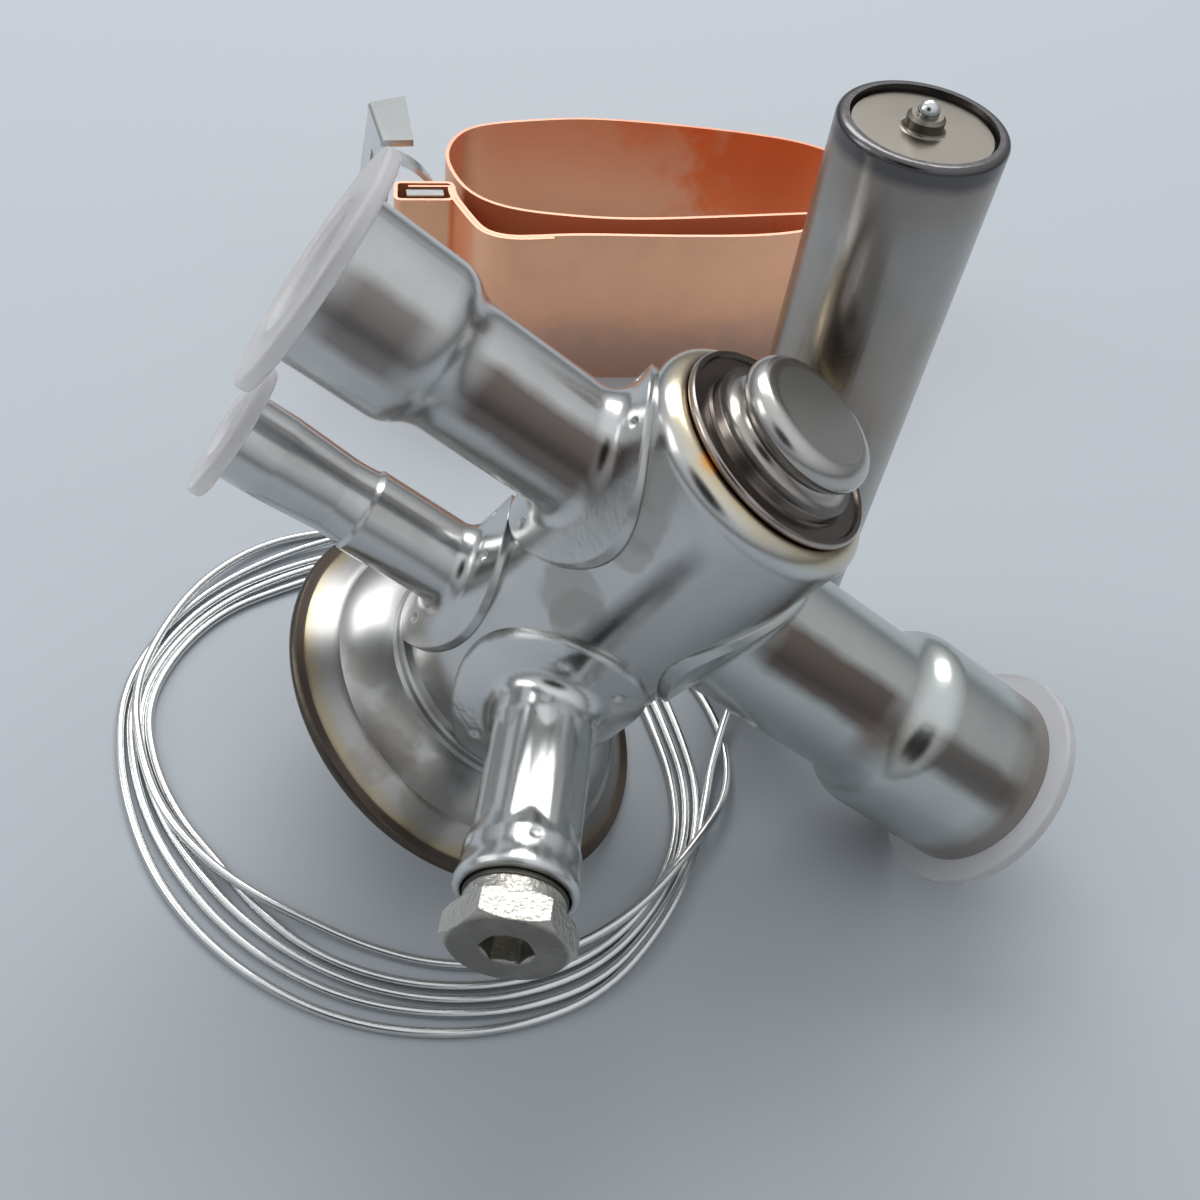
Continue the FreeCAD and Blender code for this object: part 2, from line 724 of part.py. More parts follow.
def make_rim_weld():
    """The bead that seals both shells and the diaphragm at the rim."""
    mid = rim_z - diaphragm_wall / 2
    half = weld_h / 2
    return turned([(rim_r, mid - half), (rim_r + weld_w * 0.35, mid, "arc"), (rim_r, mid + half)])


def make_diaphragm():
    """The thin disc between the shells, with its ring-shaped waves."""
    low = rim_z - diaphragm_wall
    top_side = []
    low_side = []
    for k in range(wave_count):
        r = dish_r + dish_slope - wave_edge - k * wave_step
        wave = wave_depth if k % 2 else 0.0
        top_side.append((r, rim_z - wave))
        low_side.append((r, low - wave))
    outline = [(0, low), (0, rim_z)] + top_side[::-1] + [(rim_r - 0.05, rim_z), (rim_r - 0.05, low)]
    return turned(outline + low_side)


def make_stub():
    """The small brazed neck that the capillary leaves the element by."""
    floor = rim_z - diaphragm_wall - dish_depth
    low = floor - shell_wall - stub_len
    neck = turned([(capillary_d / 2, floor), (stub_r, floor), (stub_r, floor - shell_wall),
                   (stub_r * 0.95, low + 0.5), (capillary_d / 2 + 0.45, low), (capillary_d / 2, low)])
    return neck, low


def make_end_plug():
    """The turned plug that closes the top: ring, steps, hollow foot and flat-topped dome."""
    inner_lip = body_lip_r - body_wall
    ring_low = body_top + plug_groove
    ring_top = ring_low + plug_ring_h
    bore_r = guide_r + running_gap
    side_top = dome_top - dome_round
    annulus = ring_top - plug_step
    bulge_low = dome_neck_z + 1.1
    outline = [(0, body_shoulder + 3.2 + stroke), (bore_r, body_shoulder + 3.2 + stroke),
               (bore_r, body_shoulder - 1.4), (4.6, body_shoulder - 1.4), (4.6, body_shoulder + 1.2),
               (inner_lip, body_top - 0.5), (inner_lip, ring_low), (plug_ring_r, ring_low),
               (plug_ring_r + 0.25, (ring_low + ring_top) / 2, "arc"), (plug_ring_r, ring_top),
               (plug_ring_r - 0.5, ring_top), (plug_ring_r - 0.7, annulus),
               (dome_foot_r + 0.5, annulus), (dome_foot_r + 0.3, annulus + 0.3),
               (dome_foot_r, dome_foot_z), (dome_foot_r - 0.5, dome_foot_z),
               (dome_neck_r + 0.45, (dome_foot_z + dome_neck_z) / 2 - 0.2, "arc"),
               (dome_neck_r, dome_neck_z), (dome_r - 0.15, bulge_low), (dome_r, bulge_low + 0.5),
               (dome_r, side_top),
               (dome_r - dome_round * 0.29, dome_top - dome_round * 0.29, "arc"),
               (dome_r - dome_round, dome_top), (0, dome_top)]
    return turned(outline)


def make_nut():
    """The cap nut: hexagon with turned corners, collar, thread and a key socket."""
    base = housing_mouth + nut_collar_len
    top = base + nut_len
    corner = nut_flats / math.sqrt(3)
    body = hexagon(nut_flats, base, top)
    skim = turned([(0, base - 1), (corner - 0.7, base - 0.01), (corner + 0.15, base + 0.5),
                   (corner + 0.15, top - nut_bevel), (nut_flats / 2 - 0.15, top + 0.01),
                   (0, top + 0.01)])
    body = body.common(skim)
    collar_low = housing_mouth - washer_sink
    body = body.fuse(disc(nut_collar_r, collar_low + washer_wall, base))
    thread_r = housing_r - housing_wall - thread_gap
    body = body.fuse(disc(thread_r, collar_low + washer_wall - nut_thread_len, base))
    socket = hexagon(nut_key_flats, top - nut_key_depth, top + 1)
    mouth = turned([(0, top + 0.01), (nut_key_flats / math.sqrt(3) + 0.1, top + 0.01),
                    (0, top - 1.6)])
    return body.cut(socket).cut(mouth).removeSplitter()


def make_washer():
    low = housing_mouth - washer_sink
    thread_r = housing_r - housing_wall - thread_gap
    return ring(housing_flare_r - housing_wall - 0.25, thread_r + 0.1, low, low + washer_wall)


def spline_through(points, closed=False):
    curve = Part.BSplineCurve()
    if closed:
        curve.interpolate(points, PeriodicFlag=True)
    else:
        curve.interpolate(points)
    return curve


def sheet(path, thick, z0, z1, rows=24, shift=0.0, start=0.0, end=1.0):
    """A strip of sheet metal standing on its edge along a flat path, with square ends.

    The strip lies shift to the left of the path, from the start share of its length to the end.
    """
    curve = spline_through([V(x, y, z0) for x, y in path])
    length = curve.LastParameter - curve.FirstParameter
    left = []
    right = []
    for k in range(rows + 1):
        u = curve.FirstParameter + length * (start + (end - start) * k / rows)
        spot = curve.value(u)
        run = curve.tangent(u)[0]
        side = V(-run.y, run.x, 0)
        left.append(spot + side * (shift + thick / 2))
        right.append(spot + side * (shift - thick / 2))
    edges = [spline_through(left).toShape(), Part.makeLine(left[-1], right[-1]),
             spline_through(right).toShape(), Part.makeLine(right[0], left[0])]
    return Part.Face(Part.Wire(edges)).extrude(V(0, 0, z1 - z0))


def make_coil():
    """The outer shape of the loose turns, a flat uneven ring on the table."""
    outer = spline_through([V(x, y, 0) for x, y in coil_outside], True).toShape()
    inner = spline_through([V(x, y, 0) for x, y in coil_inside], True).toShape()
    whole = Part.Face(Part.Wire(outer)).extrude(V(0, 0, coil_h))
    hole = Part.Face(Part.Wire(inner)).extrude(V(0, 0, coil_h))
    return whole.cut(hole)


def tube_route(points, shares):
    """A round tube of straight runs and tangent arcs through the corner points."""
    edges = []
    here = points[0]
    for k in range(1, len(points) - 1):
        into = points[k] - points[k - 1]
        away = points[k + 1] - points[k]
        half = into.getAngle(away) / 2
        reach = 0.45 * min(into.Length, away.Length)
        into.normalize()
        away.normalize()
        start = points[k] - into * reach
        end = points[k] + away * reach
        radius = reach / math.tan(half)
        shares.append((radius, math.degrees(2 * half)))
        bulge = away - into
        bulge.normalize()
        centre = points[k] + bulge * (radius / math.cos(half))
        middle = centre + (points[k] - centre).normalize() * radius
        edges.append(Part.makeLine(here, start))
        edges.append(Part.Arc(start, middle, end).toShape())
        here = end
    edges.append(Part.makeLine(here, points[-1]))
    spine = Part.Wire(edges)
    first = points[1] - points[0]
    profile = Part.Wire(Part.makeCircle(capillary_d / 2, points[0], first))
    return spine.makePipeShell([profile], True, True), spine.Length


def make_capillary(low):
    """The two stretches of capillary outside the coil: element to coil, and coil to bulb."""
    foot = valve_place.multVec(V(0, 0, low))
    drop = valve_place.multVec(V(0, 0, low - lead_drop))
    lead_points = [foot, drop] + [V(x, y, z) for x, y, z in lead_route]
    entry = bulb_entry_way()
    mouth = V(bulb_x, bulb_y, bulb_entry_z) + entry * (bulb_r + mouth_gap)
    tail_points = [V(x, y, z) for x, y, z in tail_route] + [mouth + entry * bulb_entry_run, mouth]
    coil = make_coil()
    made = []
    for name, points in (("capillary_lead", lead_points), ("capillary_tail", tail_points)):
        bends = []
        tube, length = tube_route(points, bends)
        print(name, "length %.1f" % length, "bends",
              ["r %.1f over %.0f" % bend for bend in bends])
        made.append((name, tube.cut(coil)))
    return made


def bulb_entry_way():
    """The level direction in which the capillary's neck stands out of the bulb."""
    turn = math.radians(bulb_entry_turn)
    return V(math.sin(turn), -math.cos(turn), 0)


def make_bulb():
    """The charged bulb: a closed tube with a rolled rim, a charge neck and a capillary neck."""
    soft = bulb_edge
    deep = bulb_h - bulb_disc_drop
    outline = [(0, 0), (bulb_r - soft, 0), (bulb_r - soft * 0.29, soft * 0.29, "arc"), (bulb_r, soft),
               (bulb_r, bulb_h - soft), (bulb_r - soft * 0.29, bulb_h - soft * 0.29, "arc"),
               (bulb_r - soft, bulb_h), (bulb_r - bulb_rim, bulb_h), (bulb_r - bulb_rim, deep - bulb_wall),
               (0, deep - bulb_wall)]
    bulb = turned(outline)
    entry = bulb_entry_way()
    root = entry * (bulb_r - 1.0) + V(0, 0, bulb_entry_z)
    mouth = entry * (bulb_r + mouth_gap) + V(0, 0, bulb_entry_z)
    neck = Part.makeCone(bulb_entry_r + 0.4, bulb_entry_r, bulb_entry_len + 1.0, root, entry)
    neck = neck.cut(Part.makeCylinder(capillary_d / 2, 8, mouth, entry))
    bulb = bulb.fuse(neck)
    bulb.translate(V(bulb_x, bulb_y, 0))
    return bulb


def make_bulb_disc():
    """The welded end disc, with the pinched neck that the charge was let in by."""
    deep = bulb_h - bulb_disc_drop
    disc_r = bulb_r - bulb_rim
    piece = turned([(0, deep - bulb_wall), (disc_r, deep - bulb_wall), (disc_r, deep - 0.35),
                    (disc_r - 0.35, deep), (nipple_r + 0.55, deep),
                    (nipple_r + 0.1, deep + 0.16, "arc"), (nipple_r, deep + 0.55),
                    (nipple_r, deep + nipple_h - 0.35), (nipple_r - 0.35, deep + nipple_h),
                    (ball_seat_r, deep + nipple_h), (ball_seat_r, deep + 0.3), (0, deep + 0.3)])
    piece.translate(V(bulb_x, bulb_y, 0))
    return piece


def make_charge_ball():
    """The ball that was welded into the charge neck."""
    deep = bulb_h - bulb_disc_drop
    centre_z = deep + nipple_h + ball_rise
    drop = math.sqrt(ball_r ** 2 - ball_seat_r ** 2)
    ball = Part.makeSphere(ball_r, V(bulb_x, bulb_y, centre_z))
    keep = Part.makeCylinder(ball_r + 1, 2 * ball_r + 1, V(bulb_x, bulb_y, centre_z - drop))
    return ball.common(keep)


def make_band():
    """The copper band, one strip: bent round with its near side doubled, its end folded
    into the buckle and laid back along the front."""
    band = sheet(band_path, strap_t, 0, strap_h, 96)
    box = rounded_box(buckle_outline, 0, strap_h)
    box = box.cut(rounded_box(buckle_outline, strap_t, strap_h))
    tail = sheet(band_path, strap_t, 0, strap_h, 20, strap_t + lap_gap, tail_share,
                 tail_end)
    lap = slab(lap_line[0], lap_line[1], strap_t * 0.7, strap_h)
    return band.fuse(box).fuse(tail).fuse(lap).removeSplitter()


def rounded_box(outline, shrink, height):
    return Part.Face(rounded(outline, -shrink, buckle_round - shrink)).extrude(V(0, 0, height))


def rounded(outline, grow, corner):
    """A polygon offset by grow, with every corner rounded."""
    count = len(outline)
    points = [V(x, y, 0) for x, y in outline]
    lines = []
    for k in range(count):
        a = points[k]
        b = points[(k + 1) % count]
        run = (b - a).normalize()
        out = V(run.y, -run.x, 0)
        lines.append((a + out * grow, run))
    corners = []
    for k in range(count):
        a, u = lines[k - 1]
        b, w = lines[k]
        cross = u.x * w.y - u.y * w.x
        step = ((b - a).x * w.y - (b - a).y * w.x) / cross
        corners.append((a + u * step, u, w))
    edges = []
    ends = []
    for spot, u, w in corners:
        half = u.getAngle(w) / 2
        reach = corner * math.tan(half)
        bulge = (w - u).normalize()
        centre = spot + bulge * (corner / math.cos(half))
        middle = centre + (spot - centre).normalize() * corner
        ends.append((spot - u * reach, middle, spot + w * reach))
    for k in range(count):
        edges.append(Part.Arc(*ends[k]).toShape())
        edges.append(Part.makeLine(ends[k][2], ends[(k + 1) % count][0]))
    return Part.Wire(edges)


def make_buckle_plate():
    """The steel plate in the buckle."""
    return slab(plate_line[0], plate_line[1], buckle_plate_t, strap_h + 0.4)


def slab(a, b, thick, height, low=0.0):
    """An upright slab between two points of the table."""
    start = V(a[0], a[1], low)
    run = V(b[0] - a[0], b[1] - a[1], 0)
    side = V(-run.y, run.x, 0).normalize() * (thick / 2)
    points = [start - side, start + run - side, start + run + side, start + side]
    return Part.Face(Part.makePolygon(points + [points[0]])).extrude(V(0, 0, height))


def make_hook():
    """The pressed steel hook behind the buckle: slotted wall, rolled head and curved prong."""
    spread = V(hook_spread[0], hook_spread[1], 0)
    top_a, top_b = [V(x, y, hook_h - hook_t / 2) for x, y in hook_line]
    foot_a, foot_b = [V(x, y, hook_foot) + spread for x, y in hook_line]
    across = (top_b - top_a).cross(foot_a - top_a).normalize() * hook_t

    def leaf(a, b, c, d):
        return Part.Face(Part.makePolygon([a, b, c, d, a])).extrude(across)

    def on_wall(share, height):
        lower = foot_a + (foot_b - foot_a) * share
        upper = top_a + (top_b - top_a) * share
        return lower + (upper - lower) * ((height - lower.z) / (upper.z - lower.z)) - across

    wall = leaf(top_a, top_b, foot_b, foot_a)
    near, far = hook_slot
    slot_top = hook_slot_z + hook_slot_h
    window = [on_wall(near, hook_slot_z), on_wall(far, hook_slot_z), on_wall(far, slot_top),
              on_wall(near, slot_top)]
    slot = Part.Face(Part.makePolygon(window + [window[0]])).extrude(across * 3)
    wall = wall.cut(slot)
    head_points = [V(x, y, hook_h - hook_t) for x, y in head_outline]
    head = Part.Face(Part.makePolygon(head_points + [head_points[0]])).extrude(V(0, 0, hook_t))
    back, front = head_points[0], head_points[1]
    rolled = [edge for edge in head.Edges
              if abs(edge.CenterOfMass.z - hook_h) < 0.01
              and (edge.CenterOfMass - (back + front) / 2 - V(0, 0, hook_t)).Length < 0.01]
    head = head.makeFillet(hook_bend, rolled)
    return wall.fuse(head).fuse(prong_sheet()).removeSplitter()


def prong_sheet():
    """A tongue that leaves the plate level and curves down towards the buckle."""
    a, b, c = [V(x, y, z) for x, y, z in prong_line]
    upper = Part.Arc(a, b, c).toShape()
    face = upper.extrude(V(prong_width[0], prong_width[1], 0))
    return face.extrude(V(0, 0, -hook_t))


def lean_angle():
    """How far the valve tips before the outlet plug meets the table, found by halving."""
    def gap(lean):
        up_z = math.cos(math.radians(lean)) * math.cos(math.radians(roll))
        down_x = math.sin(math.radians(lean))
        lift = -rim_foot * up_z + rim_r * math.sqrt(1 - up_z ** 2)
        soft = plug_flange * plug_soft
        top = outlet_mouth + plug_flange - soft
        reach = outlet_plug_r - soft
        return lift + outlet_z * up_z - top * down_x - reach * math.sqrt(1 - down_x ** 2) - soft
    low, high = 5.0, 80.0
    for _ in range(60):
        mid = (low + high) / 2
        if gap(mid) > 0:
            low = mid
        else:
            high = mid
    return (low + high) / 2


rim_foot = rim_z - diaphragm_wall - shell_wall
lean = lean_angle()
up_z = math.cos(math.radians(lean)) * math.cos(math.radians(roll))
lift = -rim_foot * up_z + rim_r * math.sqrt(1 - up_z ** 2) + contact_gap
lie = FreeCAD.Rotation(V(0, 1, 0), lean).multiply(FreeCAD.Rotation(V(1, 0, 0), -roll))
valve_place = FreeCAD.Placement(V(0, 0, lift), lie)


def laid(shape):
    """A piece of the valve as it lies on the table."""
    moved = shape.copy()
    moved.Placement = valve_place.multiply(moved.Placement)
    return moved


def first_solid(shape):
    if shape.ShapeType == "Compound" and len(shape.Solids) == 1:
        return shape.Solids[0]
    return shape


pieces = {}
cords = ("capillary_coil", "capillary_lead", "capillary_tail")


def save(name, shape):
    pieces[name] = first_solid(shape)


print("lean %.3f lift %.3f" % (lean, lift))
plate, plate_low = make_plate()
stub, stub_low = make_stub()
save("valve_body", laid(make_body()))
save("inlet_pipe", laid(make_inlet()))
save("equalizer_pipe", laid(make_equalizer()))
save("outlet_pipe", laid(make_outlet()))
save("inlet_plug", laid(transport_plug(LEFT, inlet_z, inlet_mouth, inlet_socket_bore_r, inlet_plug_r,
                                       plug_depth)))
save("equalizer_plug", laid(transport_plug(LEFT, equalizer_z, equalizer_mouth,
                                           equalizer_mouth_r - equalizer_wall, equalizer_plug_r,
                                           equalizer_plug_depth)))
save("outlet_plug", laid(transport_plug(RIGHT, outlet_z, outlet_mouth, outlet_socket_bore_r,
                                        outlet_plug_r, plug_depth)))
save("spindle_housing", laid(make_housing()))
save("gland_bush", laid(pointing(make_gland(), FRONT, spindle_z)))
save("spindle_seal", laid(pointing(make_spindle_seal(), FRONT, spindle_z)))
save("spindle_circlip", laid(pointing(make_circlip(), FRONT, spindle_z)))
save("setting_spindle", laid(pointing(make_spindle(), FRONT, spindle_z)))
save("cap_nut", laid(pointing(make_nut(), FRONT, spindle_z)))
save("nut_washer", laid(pointing(make_washer(), FRONT, spindle_z)))
save("crown_gear", laid(make_gear()))
save("spring_plate", laid(plate))
save("superheat_spring", laid(make_spring(hub_low + spring_seat_h, plate_low)))
save("seat_block", laid(make_seat_block()))
save("valve_seat", laid(make_seat()))
save("rod_bush", laid(make_bush()))
save("valve_cone", laid(make_cone()))
save("push_rod", laid(make_rod()))
save("spring_seat", laid(make_spring_seat()))
save("thrust_plate", laid(make_thrust_plate()))
save("element_upper", laid(make_upper_shell()))
save("element_lower", laid(make_lower_shell()))
save("rim_weld", laid(make_rim_weld()))
save("diaphragm", laid(make_diaphragm()))
save("capillary_stub", laid(stub))
save("end_plug", laid(make_end_plug()))
save("capillary_coil", make_coil())
for name, shape in make_capillary(stub_low):
    save(name, shape)
save("sensing_bulb", make_bulb())
save("bulb_end_disc", make_bulb_disc())
save("charge_ball", make_charge_ball())
save("strap_band", make_band())
save("buckle_plate", make_buckle_plate())
save("strap_hook", make_hook())

# The origin goes under the middle of everything but the capillary, on the table.
whole = FreeCAD.BoundBox()
for name, solid in pieces.items():
    if name not in cords:
        whole.add(solid.optimalBoundingBox(False))
shift = V(-whole.Center.x, -whole.Center.y, 0)
print("shift %.3f %.3f" % (shift.x, shift.y))
for name, solid in pieces.items():
    solid.translate(shift)
    solid.exportStep(os.path.join(PARTS, name + ".step"))
    box = solid.optimalBoundingBox(False)
    print("%-18s solids %d valid %s vol %8.1f  x %6.1f %6.1f  y %6.1f %6.1f  z %6.2f %6.2f" % (
        name, len(solid.Solids), solid.isValid(), solid.Volume,
        box.XMin, box.XMax, box.YMin, box.YMax, box.ZMin, box.ZMax))
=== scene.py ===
# %% [markdown]
# # A lying expansion valve
# The object is a brazed steel valve that lies on a pale table with its thin tube coiled under it,
# its charged bulb standing beside it and a copper strap behind. We dress a CAD model: the frame
# brings every solid at its real place, and each cell below adds one piece or one finish.

# %% Load the frame
import math

import bpy
from mathutils import Matrix, Vector


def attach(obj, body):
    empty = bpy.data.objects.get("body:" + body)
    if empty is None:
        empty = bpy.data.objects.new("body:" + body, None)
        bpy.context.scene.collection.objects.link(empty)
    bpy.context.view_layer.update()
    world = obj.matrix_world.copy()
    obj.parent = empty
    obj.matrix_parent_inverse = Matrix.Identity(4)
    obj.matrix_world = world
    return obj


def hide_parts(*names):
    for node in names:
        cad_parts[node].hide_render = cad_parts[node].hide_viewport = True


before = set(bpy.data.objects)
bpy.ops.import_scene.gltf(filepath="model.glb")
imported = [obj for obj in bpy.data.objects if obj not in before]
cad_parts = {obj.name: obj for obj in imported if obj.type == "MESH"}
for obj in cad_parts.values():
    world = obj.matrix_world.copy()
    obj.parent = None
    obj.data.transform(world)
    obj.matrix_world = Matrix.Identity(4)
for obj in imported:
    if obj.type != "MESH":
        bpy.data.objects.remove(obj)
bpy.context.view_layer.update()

MM = 0.001

# %% [markdown]
# ## Two frames
# The CAD part is drawn upright and then laid down. Its long axis leans over and it rolls a little
# towards us. The same two turns are made here, so that a place on the upright valve can be given
# in plain numbers, such as 15 mm out and 20 mm up, and still land on the lying one.

# %% The upright valve's frame and the table's
LEAN = 32.024
ROLL = 3.16
LIFT = 37.963
SHIFT = Vector((-0.130, -40.191, 0.0))

lie = Matrix.Rotation(math.radians(LEAN), 4, "Y") @ Matrix.Rotation(math.radians(-ROLL), 4, "X")
valve_frame = Matrix.Translation((SHIFT + Vector((0, 0, LIFT))) * MM) @ lie


def on_valve(x, y, z):
    """A place on the upright valve, in millimetres, as a point of the lying one."""
    return valve_frame @ (Vector((x, y, z)) * MM)


def on_table(x, y, z):
    """A place on the table, in the millimetres of the part's own drawing."""
    return (Vector((x, y, z)) + SHIFT) * MM


print("body axis points", [round(v, 3) for v in (lie @ Vector((0, 0, 1)))])

# %% [markdown]
# ## Camera
# The picture was taken from above and in front, with the camera turned a little in the hand. A
# camera is a matrix like any object. Here it is tipped down from the level, then rolled about
# its own line of sight, and the lens gives the picture's angle of view.

# %% Place the camera
CAMERA_AT = Vector((-0.529, -98.170, 147.637)) + SHIFT
CAMERA_TIP = 41.07
CAMERA_ROLL = 10.12
PICTURE = 1200
FOCAL_PIXELS = 1260.0
SENSOR = 36.0

camera_data = bpy.data.cameras.new("picture_camera")
camera = bpy.data.objects.new("picture_camera", camera_data)
bpy.context.scene.collection.objects.link(camera)
camera_data.sensor_fit = "HORIZONTAL"
camera_data.sensor_width = SENSOR
camera_data.lens = SENSOR * FOCAL_PIXELS / PICTURE
camera_data.clip_start = 0.01
camera.matrix_world = (Matrix.Translation(CAMERA_AT * MM)
                       @ Matrix.Rotation(math.radians(CAMERA_TIP), 4, "X")
                       @ Matrix.Rotation(math.radians(CAMERA_ROLL), 4, "Z"))
bpy.context.scene.camera = camera
bpy.context.scene.view_settings.view_transform = "Standard"
print("lens", round(camera_data.lens, 2), "mm")

# %% [markdown]
# ## The capillary's line
# The capillary is one steel tube of 1.2 mm and over a metre long. It leaves the element, lies in
# nearly five loose turns under the valve and ends in the bulb. The turns fill a ring whose edges
# were measured every 22.5 degrees. Each turn keeps its own share of the ring's width, and where
# it crosses another it rides over it.

# %% How the turns share the ring
RING_CENTRE = (-21.5, -2.0)
RING_STEP = 22.5
RING_OUT = [45.0, 43.1, 39.4, 39.1, 40.6, 43.5, 45.7, 44.7,
            43.3, 39.9, 39.6, 40.0, 41.8, 43.5, 44.1, 42.3]
RING_IN = [34.5, 32.2, 31.8, 32.1, 33.6, 33.9, 33.3, 35.0,
           36.3, 31.9, 27.9, 27.8, 29.6, 32.1, 34.6, 37.0]
CAPILLARY_D = 1.2
TURN_POINTS = 24

# angle along the turns in degrees, share of the ring's width, height of the tube's middle
LAY = [(123, 0.0, 0.7), (135, 0.03, 0.65), (149, 0.20, 0.65), (160, 0.25, 0.65), (193, 0.24, 0.65),
       (225, 0.20, 0.65), (256, 0.30, 0.65), (289, 0.30, 0.65), (316, 0.38, 0.65), (343, 0.24, 0.65),
       (357, 0.08, 0.65), (380, -0.04, 0.65), (410, 0.05, 0.65), (450, 0.15, 0.65), (480, 0.2, 0.65),
       (493, 0.24, 0.65), (508, 0.34, 0.65), (518, 0.40, 0.65), (553, 0.44, 0.65), (585, 0.46, 0.65),
       (617, 0.44, 0.65), (648, 0.46, 0.65), (676, 0.57, 0.65), (703, 0.43, 0.65), (718, 0.27, 0.65),
       (739, 0.14, 0.65), (765, 0.27, 0.65), (790, 0.32, 0.65), (810, 0.33, 0.65),
       (852, 0.36, 0.65), (866, 0.49, 0.65),
       (876, 0.56, 0.65), (913, 0.64, 0.65), (945, 0.66, 0.65), (980, 0.64, 0.65), (1008, 0.62, 0.65),
       (1035, 0.78, 0.65), (1062, 0.65, 0.65), (1079, 0.44, 0.65), (1099, 0.33, 0.65),
       (1125, 0.50, 0.65), (1170, 0.80, 0.65), (1208, 0.90, 0.65), (1224, 0.97, 1.2),
       (1237, 0.84, 1.9), (1246, 0.70, 1.9), (1259, 0.54, 1.9), (1273, 0.44, 1.9), (1289, 0.42, 1.9),
       (1305, 0.35, 1.9), (1319, 0.20, 1.9), (1332, 0.06, 1.7), (1345, 0.00, 0.9), (1370, 0.02, 0.65),
       (1390, 0.12, 1.2), (1400, 0.20, 1.9), (1411, 0.27, 2.4), (1423, 0.46, 3.0), (1430, 0.66, 3.0),
       (1438, 0.84, 2.6), (1445, 0.96, 1.6), (1456, 1.0, 0.8), (1480, 1.0, 0.65), (1510, 0.95, 1.3),
       (1530, 0.86, 1.9), (1552, 0.70, 1.7), (1570, 0.60, 0.9), (1583, 0.68, 0.65),
       (1594, 0.74, 0.65), (1615, 0.84, 0.65),
       (1633, 0.87, 0.65), (1665, 0.90, 0.65), (1702, 0.88, 0.65), (1728, 0.86, 0.65),
       (1753, 0.94, 0.65), (1764, 0.94, 1.0), (1777, 0.82, 1.7), (1788, 0.62, 1.7), (1799, 0.54, 1.75)]


def ring_radius(radii, angle):
    """The ring's edge at an angle, on straight lines between the measured radii."""
    place = (angle % 360.0) / RING_STEP
    low = int(place)
    share = place - low
    return radii[low % len(radii)] * (1 - share) + radii[(low + 1) % len(radii)] * share


def lay_at(angle):
    """The share and height of the tube at an angle, on straight lines between the listed places."""
    for before, after in zip(LAY, LAY[1:]):
        if angle <= after[0]:
            part = (angle - before[0]) / (after[0] - before[0])
            return [before[k] + (after[k] - before[k]) * part for k in (1, 2)]
    return LAY[-1][1:]


def coil_points():
    """The control points of all the turns, from the first listed place to the last."""
    points = []
    first, last = LAY[0][0], LAY[-1][0]
    count = round((last - first) / 360.0 * TURN_POINTS)
    for k in range(count + 1):
        angle = first + (last - first) * k / count
        share, height = lay_at(angle)
        inner = ring_radius(RING_IN, angle) + CAPILLARY_D / 2
        outer = ring_radius(RING_OUT, angle) - CAPILLARY_D / 2
        reach = inner + (outer - inner) * share
        turn = math.radians(angle)
        points.append(on_table(RING_CENTRE[0] + reach * math.cos(turn),
                               RING_CENTRE[1] + reach * math.sin(turn), height))
    return points

# %% [markdown]
# ## Lay the capillary
# A tube is easiest as a curve with a round bevel. It is one open spline whose control points come
# from three places: the two ends repeat the CAD route, and the loop above lays the turns. The
# bevel depth is 1 and each point carries the tube's radius, so that the object's box stays tight.

# %% Lay the capillary
ELEMENT_RIM_Z = -27.9
DIAPHRAGM_WALL = 0.15
DISH_DEPTH = 3.6
SHELL_WALL = 0.65
STUB_LENGTH = 1.6
LEAD_DROP = 8.2
LEAD_ROUTE = [(-31.5, 1.0, 1.5), (-33.0, 15.0, 1.5)]
TAIL_ROUTE = [(18.7, 2.0, 1.7)]
BULB_AT = (23.2, 25.0)
BULB_R = 9.0
BULB_ENTRY_TURN = -12.0
BULB_ENTRY_Z = 2.4
BULB_ENTRY_RUN = 5.0
MOUTH_GAP = 0.2


def neck_point(out):
    """A point on the line of the bulb's neck, so far out from the bulb's axis."""
    turn = math.radians(BULB_ENTRY_TURN)
    return on_table(BULB_AT[0] + out * math.sin(turn), BULB_AT[1] - out * math.cos(turn), BULB_ENTRY_Z)


stub_low = ELEMENT_RIM_Z - DIAPHRAGM_WALL - DISH_DEPTH - SHELL_WALL - STUB_LENGTH
lead_exit = on_valve(0, 0, stub_low)
route = [lead_exit, on_valve(0, 0, stub_low - LEAD_DROP)]
route += [on_table(*place) for place in LEAD_ROUTE]
route += coil_points()
route += [on_table(*place) for place in TAIL_ROUTE]
route += [neck_point(BULB_R + BULB_ENTRY_RUN), neck_point(BULB_R + MOUTH_GAP)]


def lay_tube(name, points, radius):
    """One open smooth spline through the control points. Each point carries the tube's radius."""
    curve = bpy.data.curves.new(name, "CURVE")
    curve.dimensions = "3D"
    curve.bevel_depth = 1.0
    curve.bevel_resolution = 5
    curve.resolution_u = 6
    curve.use_fill_caps = True
    spline = curve.splines.new("NURBS")
    spline.points.add(len(points) - 1)
    for point, place in zip(spline.points, points):
        point.co = (*place, 1.0)
        point.radius = radius
    spline.order_u = 3
    spline.use_endpoint_u = True
    tube = bpy.data.objects.new(name, curve)
    bpy.context.scene.collection.objects.link(tube)
    return tube


capillary = lay_tube("capillary", route, CAPILLARY_D / 2 * MM)
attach(capillary, "valve")
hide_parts("capillary_coil", "capillary_lead", "capillary_tail")
print("capillary control points", len(route))
